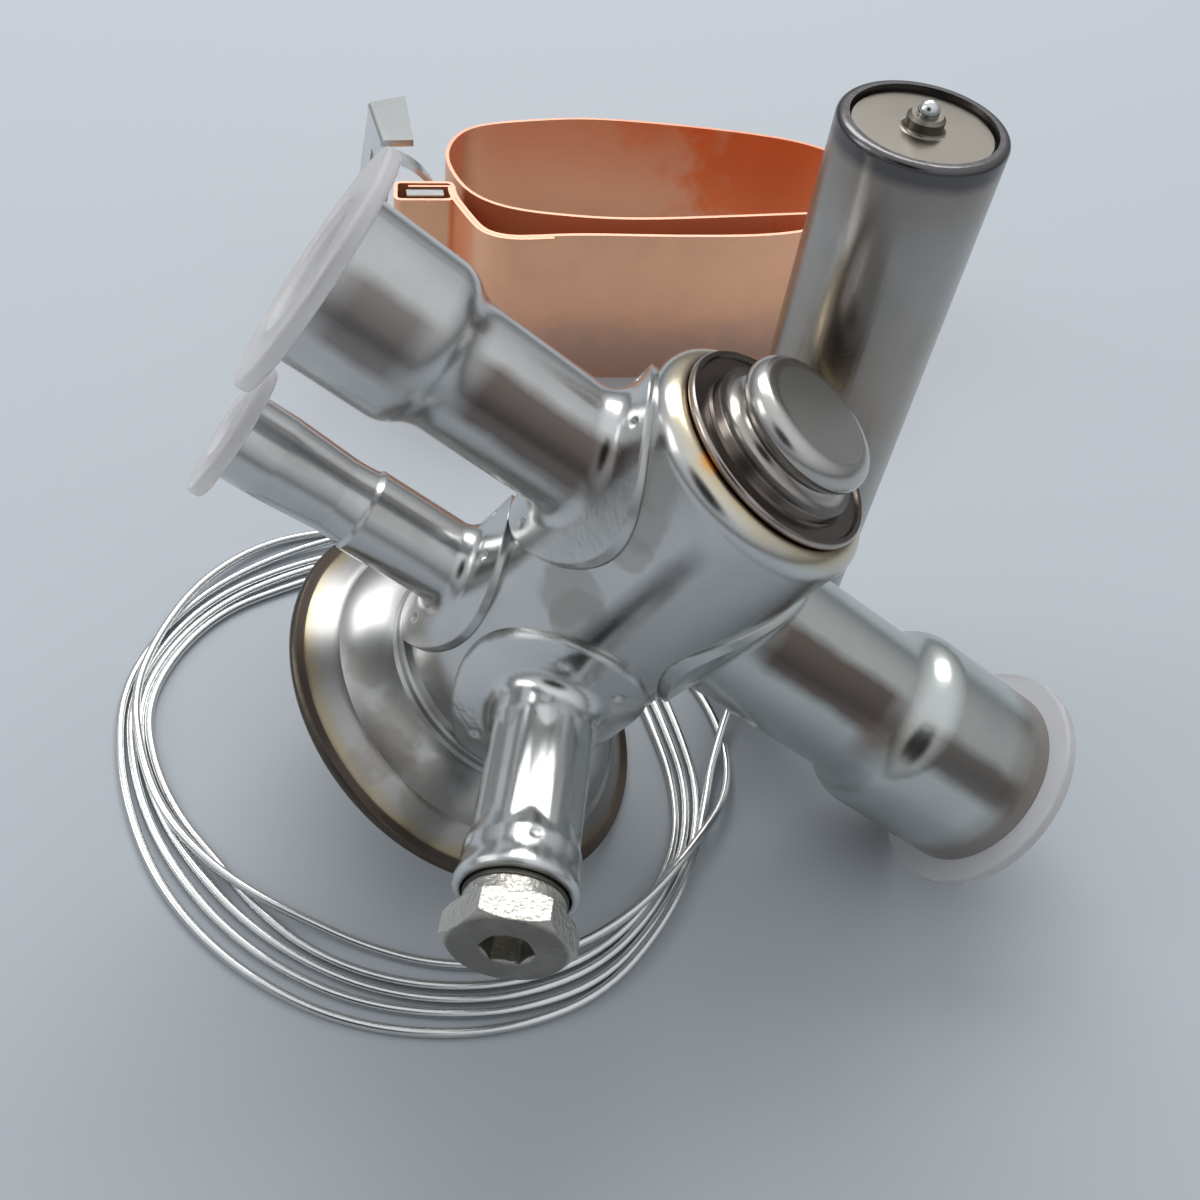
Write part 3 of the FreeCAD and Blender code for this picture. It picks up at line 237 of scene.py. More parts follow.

# %% [markdown]
# ## Table
# The valve lies on smooth pale card. A plane is enough for it, since only its top is ever seen.
# The card is dull, so a small specular level keeps it from shining like plastic, and its colour
# is a grey that leans to blue. Painted shade darkens it a little towards the camera's side, so a
# ramp over the distance from that side gives the tone.

# %% Lay the table
TABLE_SIZE = 3.0
# Painted shade: the card darkens towards this point on the camera's side.
SHADE_CENTRE = on_table(8.0, -75.0, 0)
CARD_REACH = 0.12
CARD_NEAR = (0.38, 0.41, 0.44, 1)
CARD_FAR = (0.48, 0.515, 0.55, 1)

bpy.ops.object.select_all(action="DESELECT")
bpy.ops.mesh.primitive_plane_add(size=TABLE_SIZE, location=(0, 0, 0))
table = bpy.context.object
table.name = "table"

card = bpy.data.materials.new("pale_card")
card.use_nodes = True
card_shader = card.node_tree.nodes["Principled BSDF"]
card_shader.inputs["Roughness"].default_value = 0.8
card_shader.inputs["Specular IOR Level"].default_value = 0.2
card_nodes = card.node_tree
card_place = card_nodes.nodes.new("ShaderNodeTexCoord")
card_away = card_nodes.nodes.new("ShaderNodeVectorMath")
card_away.operation = "DISTANCE"
card_away.inputs[1].default_value = SHADE_CENTRE
card_nodes.links.new(card_place.outputs["Object"], card_away.inputs[0])
card_shade = card_nodes.nodes.new("ShaderNodeValToRGB")
card_nodes.links.new(card_away.outputs["Value"], card_shade.inputs[0])
near, far = card_shade.color_ramp.elements
near.position, near.color = 0.0, CARD_NEAR
far.position, far.color = CARD_REACH, CARD_FAR
card_nodes.links.new(card_shade.outputs["Color"], card_shader.inputs["Base Color"])
table.data.materials.append(card)
print("table", tuple(round(v, 2) for v in table.dimensions))

# %% [markdown]
# ## Lamps
# Polished metal shows what is round it more than its own colour. One wide lamp stands behind and
# above. It lies where a tube's top sends the line of sight, so it draws the long white streaks.
# A smaller one on the left keeps the shadows soft and falling to the right.

# %% Hang the lamps
BEHIND_AT = (-0.10, 0.58, 0.74)
BEHIND_AIM = (0, -0.02, 0)
LEFT_AT = (-0.78, -0.05, 0.52)
LEFT_AIM = (0, -0.02, 0.03)


def soft_lamp(name, place, aim, width, depth, power):
    """A rectangular lamp that faces a point."""
    data = bpy.data.lights.new(name, "AREA")
    data.shape = "RECTANGLE"
    data.size = width
    data.size_y = depth
    data.energy = power
    lamp = bpy.data.objects.new(name, data)
    bpy.context.scene.collection.objects.link(lamp)
    lamp.location = place
    lamp.rotation_euler = (Vector(aim) - Vector(place)).to_track_quat("-Z", "Y").to_euler()


soft_lamp("lamp_behind", BEHIND_AT, BEHIND_AIM, width=0.80, depth=0.34, power=4.5)
soft_lamp("lamp_left", LEFT_AT, LEFT_AIM, width=0.30, depth=0.5, power=1.3)

# %% [markdown]
# ## Room
# The room is bright above and dim low down, and darkest where the camera stands. Every tube that
# faces the camera mirrors that place as a dark streak along its middle. So the room gets two
# parts: a ramp from floor to ceiling, and a soft dark patch in the direction of the camera.

# %% Paint the room
ROOM_LOW = (0.13, 0.135, 0.14, 1)
ROOM_WALL = (0.42, 0.43, 0.44, 1)
ROOM_TOP = (0.80, 0.82, 0.84, 1)
WALL_STOP = 0.30
TOP_STOP = 0.95
DARK_PATCH_AT = Vector((-0.22, -0.68, 0.70)).normalized()
DARK_PATCH = (0.01, 0.01, 0.011, 1)
PATCH_CORE = 13
PATCH_EDGE = 27
ROOM_STRENGTH = 1.12

world = bpy.data.worlds.new("room")
bpy.context.scene.world = world
world.use_nodes = True
room = world.node_tree
sky_place = room.nodes.new("ShaderNodeTexCoord")
sky_split = room.nodes.new("ShaderNodeSeparateXYZ")
room.links.new(sky_place.outputs["Generated"], sky_split.inputs[0])
sky_ramp = room.nodes.new("ShaderNodeValToRGB")
room.links.new(sky_split.outputs["Z"], sky_ramp.inputs[0])
stops = sky_ramp.color_ramp.elements
stops[0].position, stops[0].color = 0.0, ROOM_LOW
stops[1].position, stops[1].color = TOP_STOP, ROOM_TOP
stops.new(WALL_STOP).color = ROOM_WALL
toward = room.nodes.new("ShaderNodeVectorMath")
toward.operation = "DOT_PRODUCT"
room.links.new(sky_place.outputs["Generated"], toward.inputs[0])
toward.inputs[1].default_value = DARK_PATCH_AT
patch = room.nodes.new("ShaderNodeMapRange")
patch.interpolation_type = "SMOOTHSTEP"
patch.inputs["From Min"].default_value = math.cos(math.radians(PATCH_EDGE))
patch.inputs["From Max"].default_value = math.cos(math.radians(PATCH_CORE))
room.links.new(toward.outputs["Value"], patch.inputs["Value"])
shade = room.nodes.new("ShaderNodeMix")
shade.data_type = "RGBA"
room.links.new(patch.outputs["Result"], shade.inputs[0])
room.links.new(sky_ramp.outputs["Color"], shade.inputs[6])
shade.inputs[7].default_value = DARK_PATCH
room.links.new(shade.outputs[2], room.nodes["Background"].inputs["Color"])
room.nodes["Background"].inputs["Strength"].default_value = ROOM_STRENGTH
print("dark patch at", tuple(round(v, 2) for v in DARK_PATCH_AT))

# %% [markdown]
# ## Shared effects
# Drawn steel is never one even colour. It has fine lines along its drawing direction, smears where
# it was handled, and brown or straw heat tints beside each brazed seam. Effects that several
# finishes share are node groups, each built once. First come small helpers that wire the nodes:
# each adds one node, feeds its sockets and hands back what it puts out.

# %% Helpers for wiring
def new_group(name, inputs, outputs):
    """An empty node group with its sockets."""
    group = bpy.data.node_groups.new(name, "ShaderNodeTree")
    for label, kind, value in inputs:
        socket = group.interface.new_socket(label, in_out="INPUT", socket_type=kind)
        socket.default_value = value
    for label, kind in outputs:
        group.interface.new_socket(label, in_out="OUTPUT", socket_type=kind)
    return group, group.nodes.new("NodeGroupInput"), group.nodes.new("NodeGroupOutput")


def feed(tree, socket, value):
    """Link an output to a socket, or set a plain value on it."""
    if isinstance(value, bpy.types.NodeSocket):
        tree.links.new(value, socket)
    else:
        socket.default_value = value


def math_node(tree, kind, *values, clamp=False):
    """The result of a Math node."""
    node = tree.nodes.new("ShaderNodeMath")
    node.operation = kind
    node.use_clamp = clamp
    for socket, value in zip(node.inputs, values):
        feed(tree, socket, value)
    return node.outputs[0]


def vector_node(tree, kind, *values):
    """A Vector Math node, whose result may be a vector or a number."""
    node = tree.nodes.new("ShaderNodeVectorMath")
    node.operation = kind
    for socket, value in zip(node.inputs, values):
        feed(tree, socket, value)
    return node


def noise_node(tree, vector, scale, detail=3.0, twist=0.0):
    """A cloudy pattern from 0 to 1."""
    node = tree.nodes.new("ShaderNodeTexNoise")
    node.inputs["Scale"].default_value = scale
    node.inputs["Detail"].default_value = detail
    node.inputs["Distortion"].default_value = twist
    tree.links.new(vector, node.inputs["Vector"])
    return node.outputs["Fac"]


def mix_colour(tree, share, first, second):
    """The first colour, with a share of the second over it."""
    node = tree.nodes.new("ShaderNodeMix")
    node.data_type = "RGBA"
    feed(tree, node.inputs[0], share)
    feed(tree, node.inputs[6], first)
    feed(tree, node.inputs[7], second)
    return node.outputs[2]


# %% [markdown]
# ### Drawing lines
# A tube drawn through a die carries lines along its length. Noise gives them when its coordinates
# are stretched: packed close across the tube and pulled long along it. The same group gives wide
# soft smears from noise that isn't stretched, for handling marks and uneven polish.

# %% Group for drawing lines
SMEAR_SCALE = 110.0
SMEAR_DETAIL = 4.0
SMEAR_TWIST = 0.6

drawn, entry, leave = new_group(
    "drawn_lines",
    [("Vector", "NodeSocketVector", (0, 0, 0)), ("Across", "NodeSocketFloat", 900.0),
     ("Along", "NodeSocketFloat", 12.0)],
    [("Lines", "NodeSocketFloat"), ("Smears", "NodeSocketFloat")])
stretch = drawn.nodes.new("ShaderNodeCombineXYZ")
for socket, label in zip(stretch.inputs, ("Across", "Across", "Along")):
    drawn.links.new(entry.outputs[label], socket)
scaled = vector_node(drawn, "MULTIPLY", entry.outputs["Vector"], stretch.outputs[0])
drawn.links.new(noise_node(drawn, scaled.outputs[0], 1.0), leave.inputs["Lines"])
smear = noise_node(drawn, entry.outputs["Vector"], SMEAR_SCALE, SMEAR_DETAIL, SMEAR_TWIST)
drawn.links.new(smear, leave.inputs["Smears"])
print("drawn_lines nodes", len(drawn.nodes))

# %% [markdown]
# ### Ring zones
# Heat tints follow the piece they lie on: a straw ring on a lip, a brown band beside a seam. Painted
# shade and painted reflections use the same zone. On a turned piece such a zone is a range along
# the axis and a range out from it. The group measures both from a point and a direction, and a
# little noise makes the edges run unevenly as heat does.

# %% Group for ring zones
RING_GRAIN = 240.0
EDGE_DETAIL = 5.0

ring, entry, leave = new_group(
    "ring_zone",
    [("Vector", "NodeSocketVector", (0, 0, 0)), ("Origin", "NodeSocketVector", (0, 0, 0)),
     ("Axis", "NodeSocketVector", (0, 0, 1)), ("Low", "NodeSocketFloat", 0.0),
     ("High", "NodeSocketFloat", 1.0), ("Near", "NodeSocketFloat", 0.0),
     ("Far", "NodeSocketFloat", 1.0), ("Soft", "NodeSocketFloat", 0.001),
     ("Fade", "NodeSocketFloat", 0.001), ("Ragged", "NodeSocketFloat", 0.001)],
    [("Mask", "NodeSocketFloat")])
offset = vector_node(ring, "SUBTRACT", entry.outputs["Vector"], entry.outputs["Origin"]).outputs[0]
along = vector_node(ring, "DOT_PRODUCT", offset, entry.outputs["Axis"]).outputs["Value"]
foot = ring.nodes.new("ShaderNodeVectorMath")
foot.operation = "SCALE"
ring.links.new(entry.outputs["Axis"], foot.inputs[0])
ring.links.new(along, foot.inputs["Scale"])
out = vector_node(ring, "DISTANCE", offset, foot.outputs[0]).outputs["Value"]
wander = noise_node(ring, entry.outputs["Vector"], RING_GRAIN, EDGE_DETAIL)
wander = math_node(ring, "SUBTRACT", wander, 0.5)
wander = math_node(ring, "MULTIPLY", wander, entry.outputs["Ragged"])
mask = None
for measure, low, high, soft in ((along, "Low", "High", "Fade"), (out, "Near", "Far", "Soft")):
    place = math_node(ring, "ADD", measure, wander)
    for first, second in ((place, entry.outputs[low]), (entry.outputs[high], place)):
        gap = math_node(ring, "SUBTRACT", first, second)
        edge = math_node(ring, "DIVIDE", gap, entry.outputs[soft], clamp=True)
        mask = edge if mask is None else math_node(ring, "MULTIPLY", mask, edge)
ring.links.new(mask, leave.inputs["Mask"])
print("ring_zone nodes", len(ring.nodes))

# %% [markdown]
# ### Stains and painted light spots
# Smears of braze and flux, a painted glint, a painted reflection on the bulb and painted glows of
# light on the copper have no axis. Each is a ball-shaped zone and needs only the distance from its
# middle, measured in radii, with the same ragged edge.

# %% Group for stains and painted light spots
SPOT_GRAIN = 260.0

stain_and_light, entry, leave = new_group(
    "stain_and_light",
    [("Vector", "NodeSocketVector", (0, 0, 0)), ("Centre", "NodeSocketVector", (0, 0, 0)),
     ("Radius", "NodeSocketFloat", 0.01), ("Soft", "NodeSocketFloat", 0.4),
     ("Ragged", "NodeSocketFloat", 0.5)],
    [("Mask", "NodeSocketFloat")])
away = vector_node(stain_and_light, "DISTANCE", entry.outputs["Vector"], entry.outputs["Centre"])
away = math_node(stain_and_light, "DIVIDE", away.outputs["Value"], entry.outputs["Radius"])
wander = noise_node(stain_and_light, entry.outputs["Vector"], SPOT_GRAIN, EDGE_DETAIL)
wander = math_node(stain_and_light, "SUBTRACT", wander, 0.5)
away = math_node(stain_and_light, "MULTIPLY_ADD", wander, entry.outputs["Ragged"], away)
inside = math_node(stain_and_light, "SUBTRACT", 1.0, away)
stain_and_light.links.new(math_node(stain_and_light, "DIVIDE", inside, entry.outputs["Soft"], clamp=True),
                leave.inputs["Mask"])
print("groups", [g.name for g in bpy.data.node_groups])

# %% [markdown]
# ### Writing zones down
# A finish lists its zones in the order in which they are laid. A spot is a ball-shaped zone, for
# stains and painted light alike, a band is a ring zone, and a reflection stripe is a ring zone whose
# axis runs beside a tube's middle, so that it paints a reflection along one long side of the tube.
# Measures are in millimetres, but a spot's edge is a share of its radius.

# %% Kinds of zone
EVERYWHERE = (-500, 500)
SOFT_EDGE = 0.4
RAGGED_EDGE = 0.5


def spot(at, radius, tone, strength, **more):
    """A zone round a point, for real stains and painted light alike."""
    return dict(kind="stain_and_light", at=at, radius=radius, tone=tone, strength=strength, **more)


def band(at, axis, tone, strength, **more):
    """A range along an axis and out from it."""
    return dict(kind="ring", at=at, axis=axis, tone=tone, strength=strength, **more)


def reflection_stripe(at, axis, along, half, tone, strength):
    """A painted reflection: a long soft streak beside a line that runs along a tube."""
    return band(at, axis, tone, strength, along=along, out=(-9, half), soft=1.5, fade=4.0,
                ragged=1.2)


def lay_zone(tree, place, zone):
    """The mask of one zone: a stain round a point or a ring round an axis."""
    node = tree.nodes.new("ShaderNodeGroup")
    kind, origin = zone["kind"], zone["at"]
    node.node_tree = stain_and_light if kind == "stain_and_light" else ring
    node.inputs["Centre" if kind == "stain_and_light" else "Origin"].default_value = origin
    if kind == "stain_and_light":
        node.inputs["Radius"].default_value = zone["radius"] * MM
        node.inputs["Soft"].default_value = zone.get("soft", SOFT_EDGE)
        node.inputs["Ragged"].default_value = zone.get("ragged", RAGGED_EDGE)
    else:
        node.inputs["Axis"].default_value = zone["axis"]
        low, high = zone.get("along", EVERYWHERE)
        near, far = zone.get("out", EVERYWHERE)
        soft = zone.get("soft", SOFT_EDGE)
        measures = (("Low", low), ("High", high), ("Near", near), ("Far", far), ("Soft", soft),
                    ("Fade", zone.get("fade", soft)), ("Ragged", zone.get("ragged", RAGGED_EDGE)))
        for label, measure in measures:
            node.inputs[label].default_value = measure * MM
    tree.links.new(place, node.inputs["Vector"])
    return node.outputs["Mask"]


def lay_zones(tree, place, tone, gloss, zones):
    """The colour and the roughness after every zone is laid over them in turn."""
    for zone in zones:
        share = math_node(tree, "MULTIPLY", lay_zone(tree, place, zone), zone["strength"])
        tone = mix_colour(tree, share, tone, (*zone["tone"], 1))
        if "rough" in zone:
            gloss = math_node(tree, "MULTIPLY_ADD", share, zone["rough"], gloss)
    return tone, gloss


print("a plain edge fades over", SOFT_EDGE, "and wanders by", RAGGED_EDGE)

# %% [markdown]
# ### One way to finish a metal
# Every metal here is the same recipe with other numbers: a colour, its smears, then any zones of
# tint and painted light laid over it, a polish that varies a little, and lines pressed into the
# surface by a bump.
# A Bevel node lends the shading a round edge. The shader stays in the material, and the groups
# only hand it masks.

# %% Build a metal
DIRT_START = 0.45
DIRT_GAIN = 2.4
DIRT_SHADE = 0.62
GROOVE_START = 0.52
GROOVE_GAIN = 8.0
GROOVE_TONE = (0.18, 0.16, 0.13, 1)
LINE_DEPTH = 0.0004


def turn_to(axis):
    """The turn that brings the Z axis onto a direction."""
    return Vector((0, 0, 1)).rotation_difference(axis).to_euler()


def metal(name, colour, rough, spread=0.08, across=900.0, along=14.0, depth=0.05, axis=None,
          zones=(), soil=0.35, marks=0.0, round_edge=0.0, metallic=1.0):
    """Steel, brass or copper with drawing lines, smears, zones of tint and painted light, and softened
    edges.
    """
    material = bpy.data.materials.new(name)
    material.use_nodes = True
    tree = material.node_tree
    shader = tree.nodes["Principled BSDF"]
    shader.inputs["Metallic"].default_value = metallic
    place = tree.nodes.new("ShaderNodeTexCoord").outputs["Object"]
    mapped = tree.nodes.new("ShaderNodeMapping")
    mapped.vector_type = "TEXTURE"
    if axis is not None:
        mapped.inputs["Rotation"].default_value = turn_to(axis)
    tree.links.new(place, mapped.inputs["Vector"])
    grain = tree.nodes.new("ShaderNodeGroup")
    grain.node_tree = drawn
    grain.inputs["Across"].default_value = across
    grain.inputs["Along"].default_value = along
    tree.links.new(mapped.outputs[0], grain.inputs["Vector"])
    lines, smears = grain.outputs["Lines"], grain.outputs["Smears"]
    dirt = math_node(tree, "SUBTRACT", smears, DIRT_START)
    dirt = math_node(tree, "MULTIPLY", dirt, DIRT_GAIN * soil, clamp=True)
    tone = mix_colour(tree, dirt, (*colour, 1), (*[DIRT_SHADE * v for v in colour], 1))
    gloss = math_node(tree, "MULTIPLY_ADD", smears, spread * 2, rough - spread)
    gloss = math_node(tree, "MULTIPLY_ADD", lines, spread, gloss)
    tone, gloss = lay_zones(tree, place, tone, gloss, zones)
    if marks:
        groove = math_node(tree, "SUBTRACT", lines, GROOVE_START)
        groove = math_node(tree, "MULTIPLY", groove, GROOVE_GAIN * marks, clamp=True)
        tone = mix_colour(tree, math_node(tree, "MULTIPLY", groove, marks), tone, GROOVE_TONE)
    tree.links.new(tone, shader.inputs["Base Color"])
    tree.links.new(gloss, shader.inputs["Roughness"])
    bump = tree.nodes.new("ShaderNodeBump")
    bump.inputs["Strength"].default_value = depth
    bump.inputs["Distance"].default_value = LINE_DEPTH
    tree.links.new(lines, bump.inputs["Height"])
    if round_edge:
        edge = tree.nodes.new("ShaderNodeBevel")
        edge.inputs["Radius"].default_value = round_edge * MM
        tree.links.new(edge.outputs[0], bump.inputs["Normal"])
    tree.links.new(bump.outputs[0], shader.inputs["Normal"])
    return material


print("dirt reaches", DIRT_SHADE, "of a metal's tone")

# %% [markdown]
# ### Directions and shared tones
# The zones need the valve's own three directions as they lie on the table. Steel, straw, rose,
# brown and umber are the tones that hot steel goes through, and braze is the grey of the filler.
# Umber also paints the dark reflections along the tubes.

# %% Directions and tones
UP = (lie @ Vector((0, 0, 1))).normalized()
ALONG = (lie @ Vector((1, 0, 0))).normalized()
FORWARD = (lie @ Vector((0, -1, 0))).normalized()
ORIGIN = on_valve(0, 0, 0)
STEEL = (0.60, 0.605, 0.60)
BROWN = (0.22, 0.165, 0.125)
STRAW = (0.62, 0.50, 0.27)
ROSE = (0.56, 0.44, 0.38)
UMBER = (0.15, 0.115, 0.10)
BRAZE = (0.40, 0.38, 0.35)
print("axes", [tuple(round(v, 2) for v in axis) for axis in (UP, ALONG, FORWARD)])

# %% [markdown]
# ## Valve body
# The body is a stainless tube, drawn to size and brazed in a furnace. Its open end was heated most
# when the plug was brazed in, so the lip has turned straw, with a brown line at the seam. Grey
# smears of braze lie beside the saddles on its front. A small amber spot on the lip is a painted
# glint, and a dark streak down its front is a painted reflection. Each tint is a zone with its own
# edge.

# %% Finish the body
LIP_Z = 26.0
LIP_TOP = 40
SEAM_R = 12.9
PAINTED_GLINT = (0.90, 0.36, 0.06)
DARK_REFLECTION = (0.19, 0.19, 0.20)
# across, front, height and radius of each smear of braze
BRAZE_SMEARS = [(-11.3, -9.6, 21.8, 3.4), (-9.2, -11.4, 18.2, 3.2), (-8.2, -12.2, 15.2, 2.6),
                (-9.2, -11.3, 6.0, 4.2), (-6.4, -13.0, 4.8, 3.4)]
body_zones = [
    band(ORIGIN, UP, STRAW, 0.85, along=(LIP_Z, LIP_TOP), soft=1.6, ragged=1.6),
    band(ORIGIN, UP, BROWN, 0.8, along=(LIP_Z, LIP_TOP), out=(0, SEAM_R), soft=0.6, ragged=0.6),
    # Painted glint: a small amber highlight on the lip's rounded shoulder.
    spot(on_valve(-8.4, -8.9, 28.2), 1.9, PAINTED_GLINT, 0.9, soft=0.5)]
for *place, radius in BRAZE_SMEARS:
    body_zones.append(spot(on_valve(*place), radius, BRAZE, 0.5, soft=0.22, ragged=1.1, rough=0.2))
# Painted reflection: a dark streak down the body's front, where it mirrors the camera's side.
body_zones.append(reflection_stripe(on_valve(-4.0, -14.2, 0), UP, (0.0, 22.5), 2.1, DARK_REFLECTION, 0.7))
body_steel = metal("body_steel", (0.61, 0.615, 0.61), 0.18, 0.06, 500, 500, 0.03, UP, body_zones,
                   round_edge=0.5)
print("body zones", len(body_zones))

# %% [markdown]
# ## Three branch tubes
# The two soldering sockets and the thin equalizer tube are drawn steel as well, so their lines run
# along their own axis. A dark umber streak along each one's front is a painted reflection of the
# dark room, and brazing heat left a brown tint on the outlet beside its step. A streak is strongest
# in the middle and fades, so its edges are made wide.

# %% Finish the branch tubes
# The inlet's two umber streaks are painted reflections.
inlet_steel = metal("inlet_steel", STEEL, 0.21, 0.05, 900, 16, 0.06, ALONG, [
    reflection_stripe(on_valve(0, -6.8, 17.0), ALONG, (-32.5, -11.5), 4.2, UMBER, 0.9),
    reflection_stripe(on_valve(0, -8.6, 17.3), ALONG, (-47.5, -34.0), 4.7, UMBER, 0.7)], round_edge=0.4)
# The equalizer's umber streak is a painted reflection.
equalizer_steel = metal("equalizer_steel", STEEL, 0.20, 0.06, 900, 16, 0.05, ALONG,
                        [reflection_stripe(on_valve(0, -3.8, -4.6), ALONG, (-43.0, -18.0), 2.4, UMBER, 0.7)],
                        round_edge=0.3)
# The outlet's two umber streaks are painted reflections; its brown spot by the step is heat tint.
outlet_steel = metal("outlet_steel", (0.56, 0.585, 0.57), 0.22, 0.05, 900, 16, 0.06, ALONG, [
    reflection_stripe(on_valve(0, -8.0, 12.9), ALONG, (12.0, 36.0), 3.9, UMBER, 0.92),
    reflection_stripe(on_valve(0, -9.6, 14.0), ALONG, (37.0, 56.0), 3.0, UMBER, 0.75),
    spot(on_valve(34.5, -9.2, 10.8), 5.0, BROWN, 0.8, soft=0.8, ragged=0.8),
    band(ORIGIN, ALONG, BROWN, 0.6, along=(50.5, 80), soft=4.0, ragged=3.5)], round_edge=0.4)
print("tube finishes", inlet_steel.name, outlet_steel.name)

# %% [markdown]
# ## Spindle housing and cap nut
# The housing was drawn and polished, so it is the brightest piece. The nut is turned from bar and
# plated: its end face is dull with tool marks, while its flats are bright and scratched from the
# spanner. A ring zone near the nut's axis keeps the end face apart from the flats.

# %% Finish the housing and the nut
SPINDLE = on_valve(0, 0, -8.95)
NUT_FACE = 43.6
NUT_FACE_R = 10.5
END_FACE_TONE = (0.20, 0.19, 0.17)
housing_steel = metal("housing_steel", (0.66, 0.67, 0.665), 0.16, 0.06, 900, 16, 0.10, FORWARD,
                      round_edge=0.8)
nut_zones = [band(SPINDLE, FORWARD, END_FACE_TONE, 0.9, out=(0, NUT_FACE_R), along=(NUT_FACE, 90),
                  soft=0.3, ragged=0.3, rough=0.2)]
nut_steel = metal("nut_steel", (0.58, 0.56, 0.51), 0.26, 0.10, 1500, 1500, 0.5, FORWARD, nut_zones,
                  soil=0.5, marks=0.3, round_edge=0.2)
washer_steel = metal("washer_steel", (0.16, 0.15, 0.13), 0.35)
print("nut finish", nut_steel.name)

# %% [markdown]
# ## Element
# The element is two pressed shells with a weld bead round them. The weld's heat left an umber edge
# and a golden ring just inside it, and the flux left mottled smears on the shell we look at. The
# metal is spun smooth, so it has no lines, only soft unevenness.

# %% Finish the element
FLUX = (0.27, 0.245, 0.215)
RIM_SHADE = (0.33, 0.32, 0.31)
WELD_GOLD = (0.34, 0.28, 0.17)
PAST_RIM = 40
# across, front, height and radius of each smear of flux
FLUX_SMEARS = [(-11.0, -13.9, -22.8, 4.6), (-10.5, -18.1, -25.0, 4.0), (-4.7, -19.2, -24.1, 4.6),
               (-16.5, -9.0, -22.5, 3.2)]
element_zones = [
    # Painted shade: the shell darkens towards its rim.
    band(ORIGIN, UP, RIM_SHADE, 0.8, out=(16.5, PAST_RIM), soft=5.0, ragged=4.0),
    band(ORIGIN, UP, WELD_GOLD, 0.85, out=(22.8, PAST_RIM), soft=1.5, ragged=2.0),
    band(ORIGIN, UP, UMBER, 0.95, out=(24.2, PAST_RIM), soft=0.5, ragged=0.6)]
for *place, radius in FLUX_SMEARS:
    element_zones.append(spot(on_valve(*place), radius, FLUX, 0.45, soft=0.35, ragged=2.6,
                              rough=0.15))
element_steel = metal("element_steel", (0.46, 0.465, 0.46), 0.28, 0.09, 40, 40, 0.03, UP,
                      element_zones, soil=0.6)
weld_steel = metal("weld_steel", (0.10, 0.085, 0.07), 0.34, 0.1, 400, 400, 0.3)
print("element zones", len(element_zones))

# %% [markdown]
# ## End plug
# The plug was turned on a lathe, so its disc carries fine rings round the axis, and the braze
# turned it dark brown between a rosy rim and a brown neck. The dome on top stayed steel, with a
# dull grey face. Every one of these is a ring zone, each a range out from the axis.

# %% Finish the end plug
BURNT_DISC = (0.14, 0.115, 0.10)
DOME_GREY = (0.33, 0.32, 0.30)
plug_zones = [
    band(ORIGIN, UP, BURNT_DISC, 0.95, out=(0, 12.4), along=(20, 29.6), soft=0.5, ragged=0.5),
    band(ORIGIN, UP, ROSE, 0.9, out=(12.0, 20), along=(20, 40), soft=0.4, ragged=0.4),
    band(ORIGIN, UP, BROWN, 0.6, out=(0, 9.6), along=(29.2, 30.8), soft=0.8, ragged=0.8),
    band(ORIGIN, UP, DOME_GREY, 0.7, out=(0, 6.2), along=(33.6, 60), soft=0.5, ragged=0.4,
         rough=0.25)]
plug_steel = metal("plug_steel", (0.52, 0.51, 0.49), 0.20, 0.06, 300, 300, 0.03, UP, plug_zones)
print("plug zones", len(plug_zones))

# %% [markdown]
# ## Bulb
# The bulb is a closed steel tube, swaged at the top over an end disc. Its seam was welded there,
# so the top is darkened, and a tan patch on its front side is a painted reflection. The little
# ball seals the charging hole and stayed bright.

# %% Finish the bulb
BULB_FOOT = on_table(BULB_AT[0], BULB_AT[1], 0)
UPRIGHT = Vector((0, 0, 1))
SMOKED = (0.24, 0.205, 0.175)
WELD_BLUE = (0.085, 0.085, 0.095)
TAN_REFLECTION = (0.36, 0.31, 0.26)
PAST_TOP = 95
bulb_zones = [
    band(BULB_FOOT, UPRIGHT, SMOKED, 0.6, along=(77, PAST_TOP), soft=7.0, ragged=3.0),
    band(BULB_FOOT, UPRIGHT, WELD_BLUE, 0.8, along=(84.0, PAST_TOP), soft=1.2, ragged=0.8),
    # Painted reflection: a tan patch on the bulb's front side.
    spot(on_table(20.0, 16.5, 56.0), 20.0, TAN_REFLECTION, 0.75, soft=0.9, ragged=0.4)]
bulb_steel = metal("bulb_steel", (0.38, 0.365, 0.35), 0.23, 0.05, 700, 10, 0.10, zones=bulb_zones)
disc_steel = metal("disc_steel", (0.24, 0.22, 0.19), 0.28, 0.07, 120, 120, 0.02)
print("bulb finishes", bulb_steel.name, disc_steel.name)

# %% [markdown]
# ## Copper strap
# The strap is soft copper strip with a bright pink cut edge. Its front face is dull, and painted
# shade darkens it towards the foot. The inside of the far bow catches light that has already met
# copper once, so painted light turns it deep orange, with a paler tan painted at its left. We tint
# these faces by where they are.

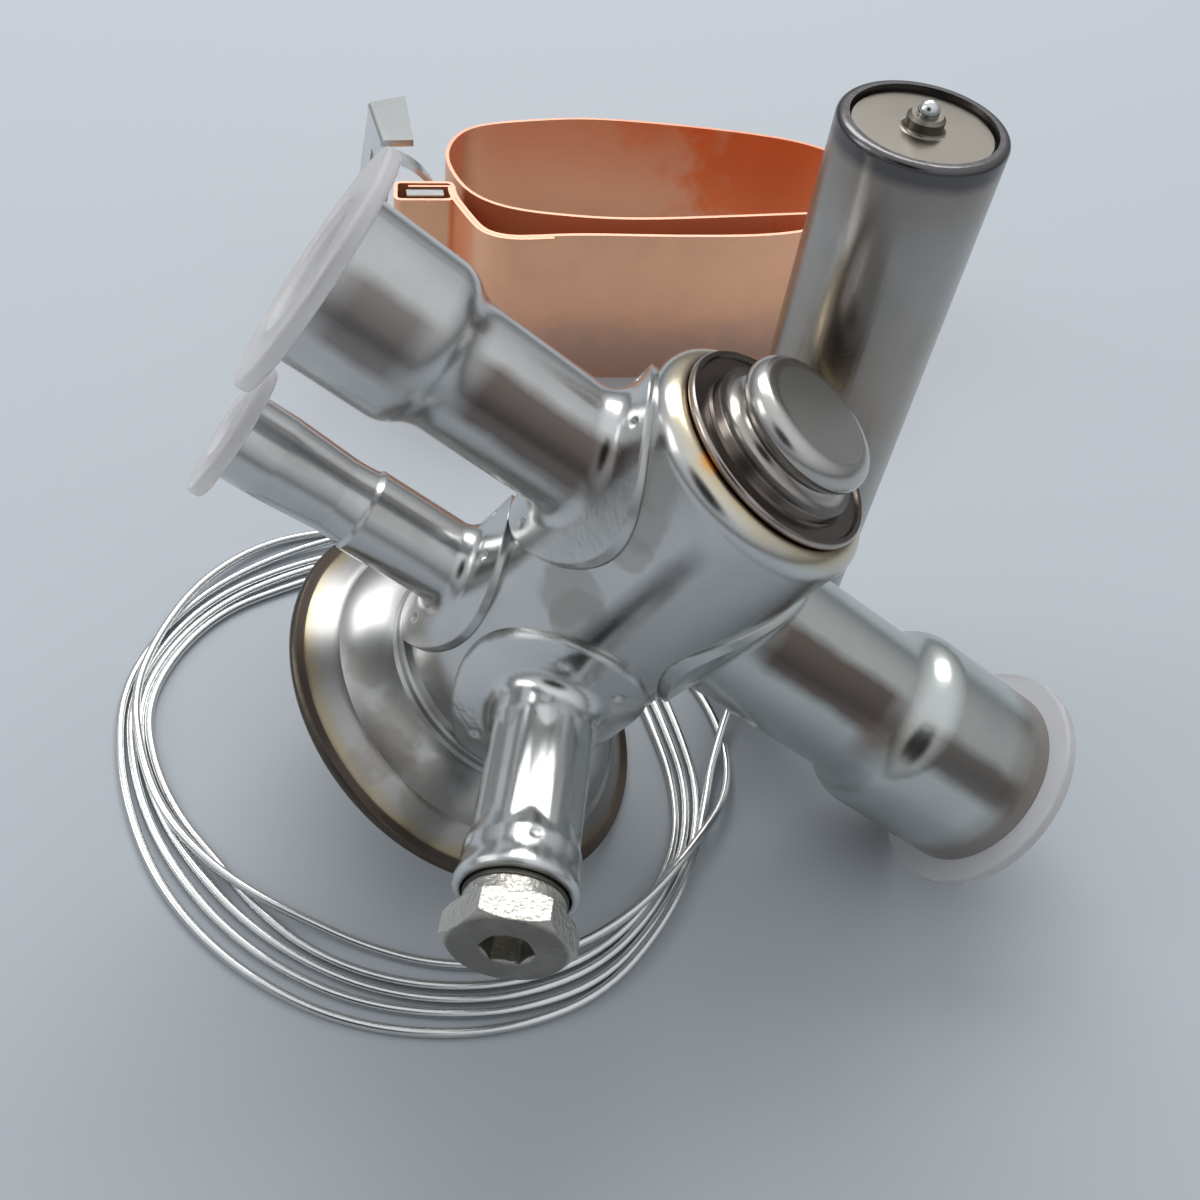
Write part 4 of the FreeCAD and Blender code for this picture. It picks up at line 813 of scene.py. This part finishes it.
# %% Finish the strap
BOW = on_table(0, 0, 0)
AWAY = Vector((0, 1, 0))
COPPER = (0.98, 0.53, 0.33)
TAN = (1.0, 0.66, 0.45)
ORANGE = (1.0, 0.25, 0.05)
FOOT_SHADE = (0.62, 0.39, 0.31)
CUT_EDGE = (0.95, 0.50, 0.38)
copper_zones = [
    # Painted shade: the front face darkens towards the foot.
    band(BOW, UPRIGHT, FOOT_SHADE, 0.8, along=(-5, 15), soft=8.0, ragged=8.0),
    # Painted light: a paler tan on the far bow's inner face and two deep orange spots of light off the
    # copper.
    band(BOW, AWAY, TAN, 0.9, along=(106, 140), soft=4.0, ragged=3.0),
    spot(on_table(24, 124, 25), 27.0, ORANGE, 0.75, soft=0.35, ragged=0.9),
    spot(on_table(-6, 121, 36), 13.0, ORANGE, 0.65, soft=0.6, ragged=0.9),
    band(BOW, UPRIGHT, CUT_EDGE, 0.6, along=(29.8, 40), soft=0.1, ragged=0.1)]
copper = metal("copper", COPPER, 0.32, 0.06, 30, 30, 0.02, zones=copper_zones, soil=0.25, metallic=0.9)
print("copper zones", len(copper_zones))

# %% [markdown]
# ## Milky plugs, rubber and the plain metals
# The transport plugs are thin milky plastic. Light passes through and is scattered, so they get
# rough transmission over a white base instead of clear glass. Inside the inlet's one a reddish
# ring shows faintly. The pieces inside the body are brass and steel in their plain colours.

# %% Build a plastic
CLOUD_SCALE = 90.0
CLOUD_SHADE = 0.93
PLASTIC_IOR = 1.45


def plastic(name, colour, rough, clear, zones=()):
    """A cloudy plastic or rubber, clear from 0 to 1, with tinted zones."""
    material = bpy.data.materials.new(name)
    material.use_nodes = True
    tree = material.node_tree
    shader = tree.nodes["Principled BSDF"]
    place = tree.nodes.new("ShaderNodeTexCoord").outputs["Object"]
    cloud = noise_node(tree, place, CLOUD_SCALE, 2.0)
    tone = mix_colour(tree, cloud, (*colour, 1), (*[CLOUD_SHADE * v for v in colour], 1))
    tone, rough = lay_zones(tree, place, tone, rough, zones)
    tree.links.new(tone, shader.inputs["Base Color"])
    shader.inputs["Roughness"].default_value = rough
    shader.inputs["Transmission Weight"].default_value = clear
    shader.inputs["IOR"].default_value = PLASTIC_IOR
    return material


print("clouds reach", CLOUD_SHADE, "of a plastic's tone")

# %% Finish the rest
INLET_Z = 13.3
REDDISH = (0.80, 0.42, 0.38)
milky = plastic("milky_plastic", (0.97, 0.955, 0.965), 0.5, 0.7, [
    band(on_valve(0, 0, INLET_Z), ALONG, REDDISH, 0.45, along=(-90, -50), out=(3.5, 7.6),
         soft=1.2, ragged=0.6)])
rubber = plastic("seal_rubber", (0.02, 0.02, 0.02), 0.6, 0.0)
bright_steel = metal("bright_steel", (0.70, 0.71, 0.71), 0.16, 0.06)
tube_steel = metal("tube_steel", (0.68, 0.69, 0.69), 0.20, 0.05)
brass = metal("brass", (0.66, 0.50, 0.26), 0.30, 0.06)
print("materials", len(bpy.data.materials))

# %% [markdown]
# ## Dress the model
# Each CAD piece gets one finish by name. The brass ones are listed together, and what isn't named
# is plain bright steel, as circlips, springs and rods are.

# %% Hand out the finishes
FINISH = {
    "valve_body": body_steel, "inlet_pipe": inlet_steel, "equalizer_pipe": equalizer_steel,
    "outlet_pipe": outlet_steel, "spindle_housing": housing_steel, "element_upper": element_steel,
    "element_lower": element_steel, "rim_weld": weld_steel, "end_plug": plug_steel,
    "cap_nut": nut_steel, "nut_washer": washer_steel, "sensing_bulb": bulb_steel,
    "bulb_end_disc": disc_steel, "charge_ball": bright_steel, "strap_band": copper,
    "inlet_plug": milky, "equalizer_plug": milky, "outlet_plug": milky, "spindle_seal": rubber}
BRASS_NODES = ("gland_bush", "crown_gear", "spring_plate", "seat_block", "rod_bush", "spring_seat")
for name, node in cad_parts.items():
    finish = FINISH.get(name, brass if name in BRASS_NODES else bright_steel)
    node.data.materials.clear()
    node.data.materials.append(finish)
capillary.data.materials.append(tube_steel)
print("dressed", len(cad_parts), "pieces")
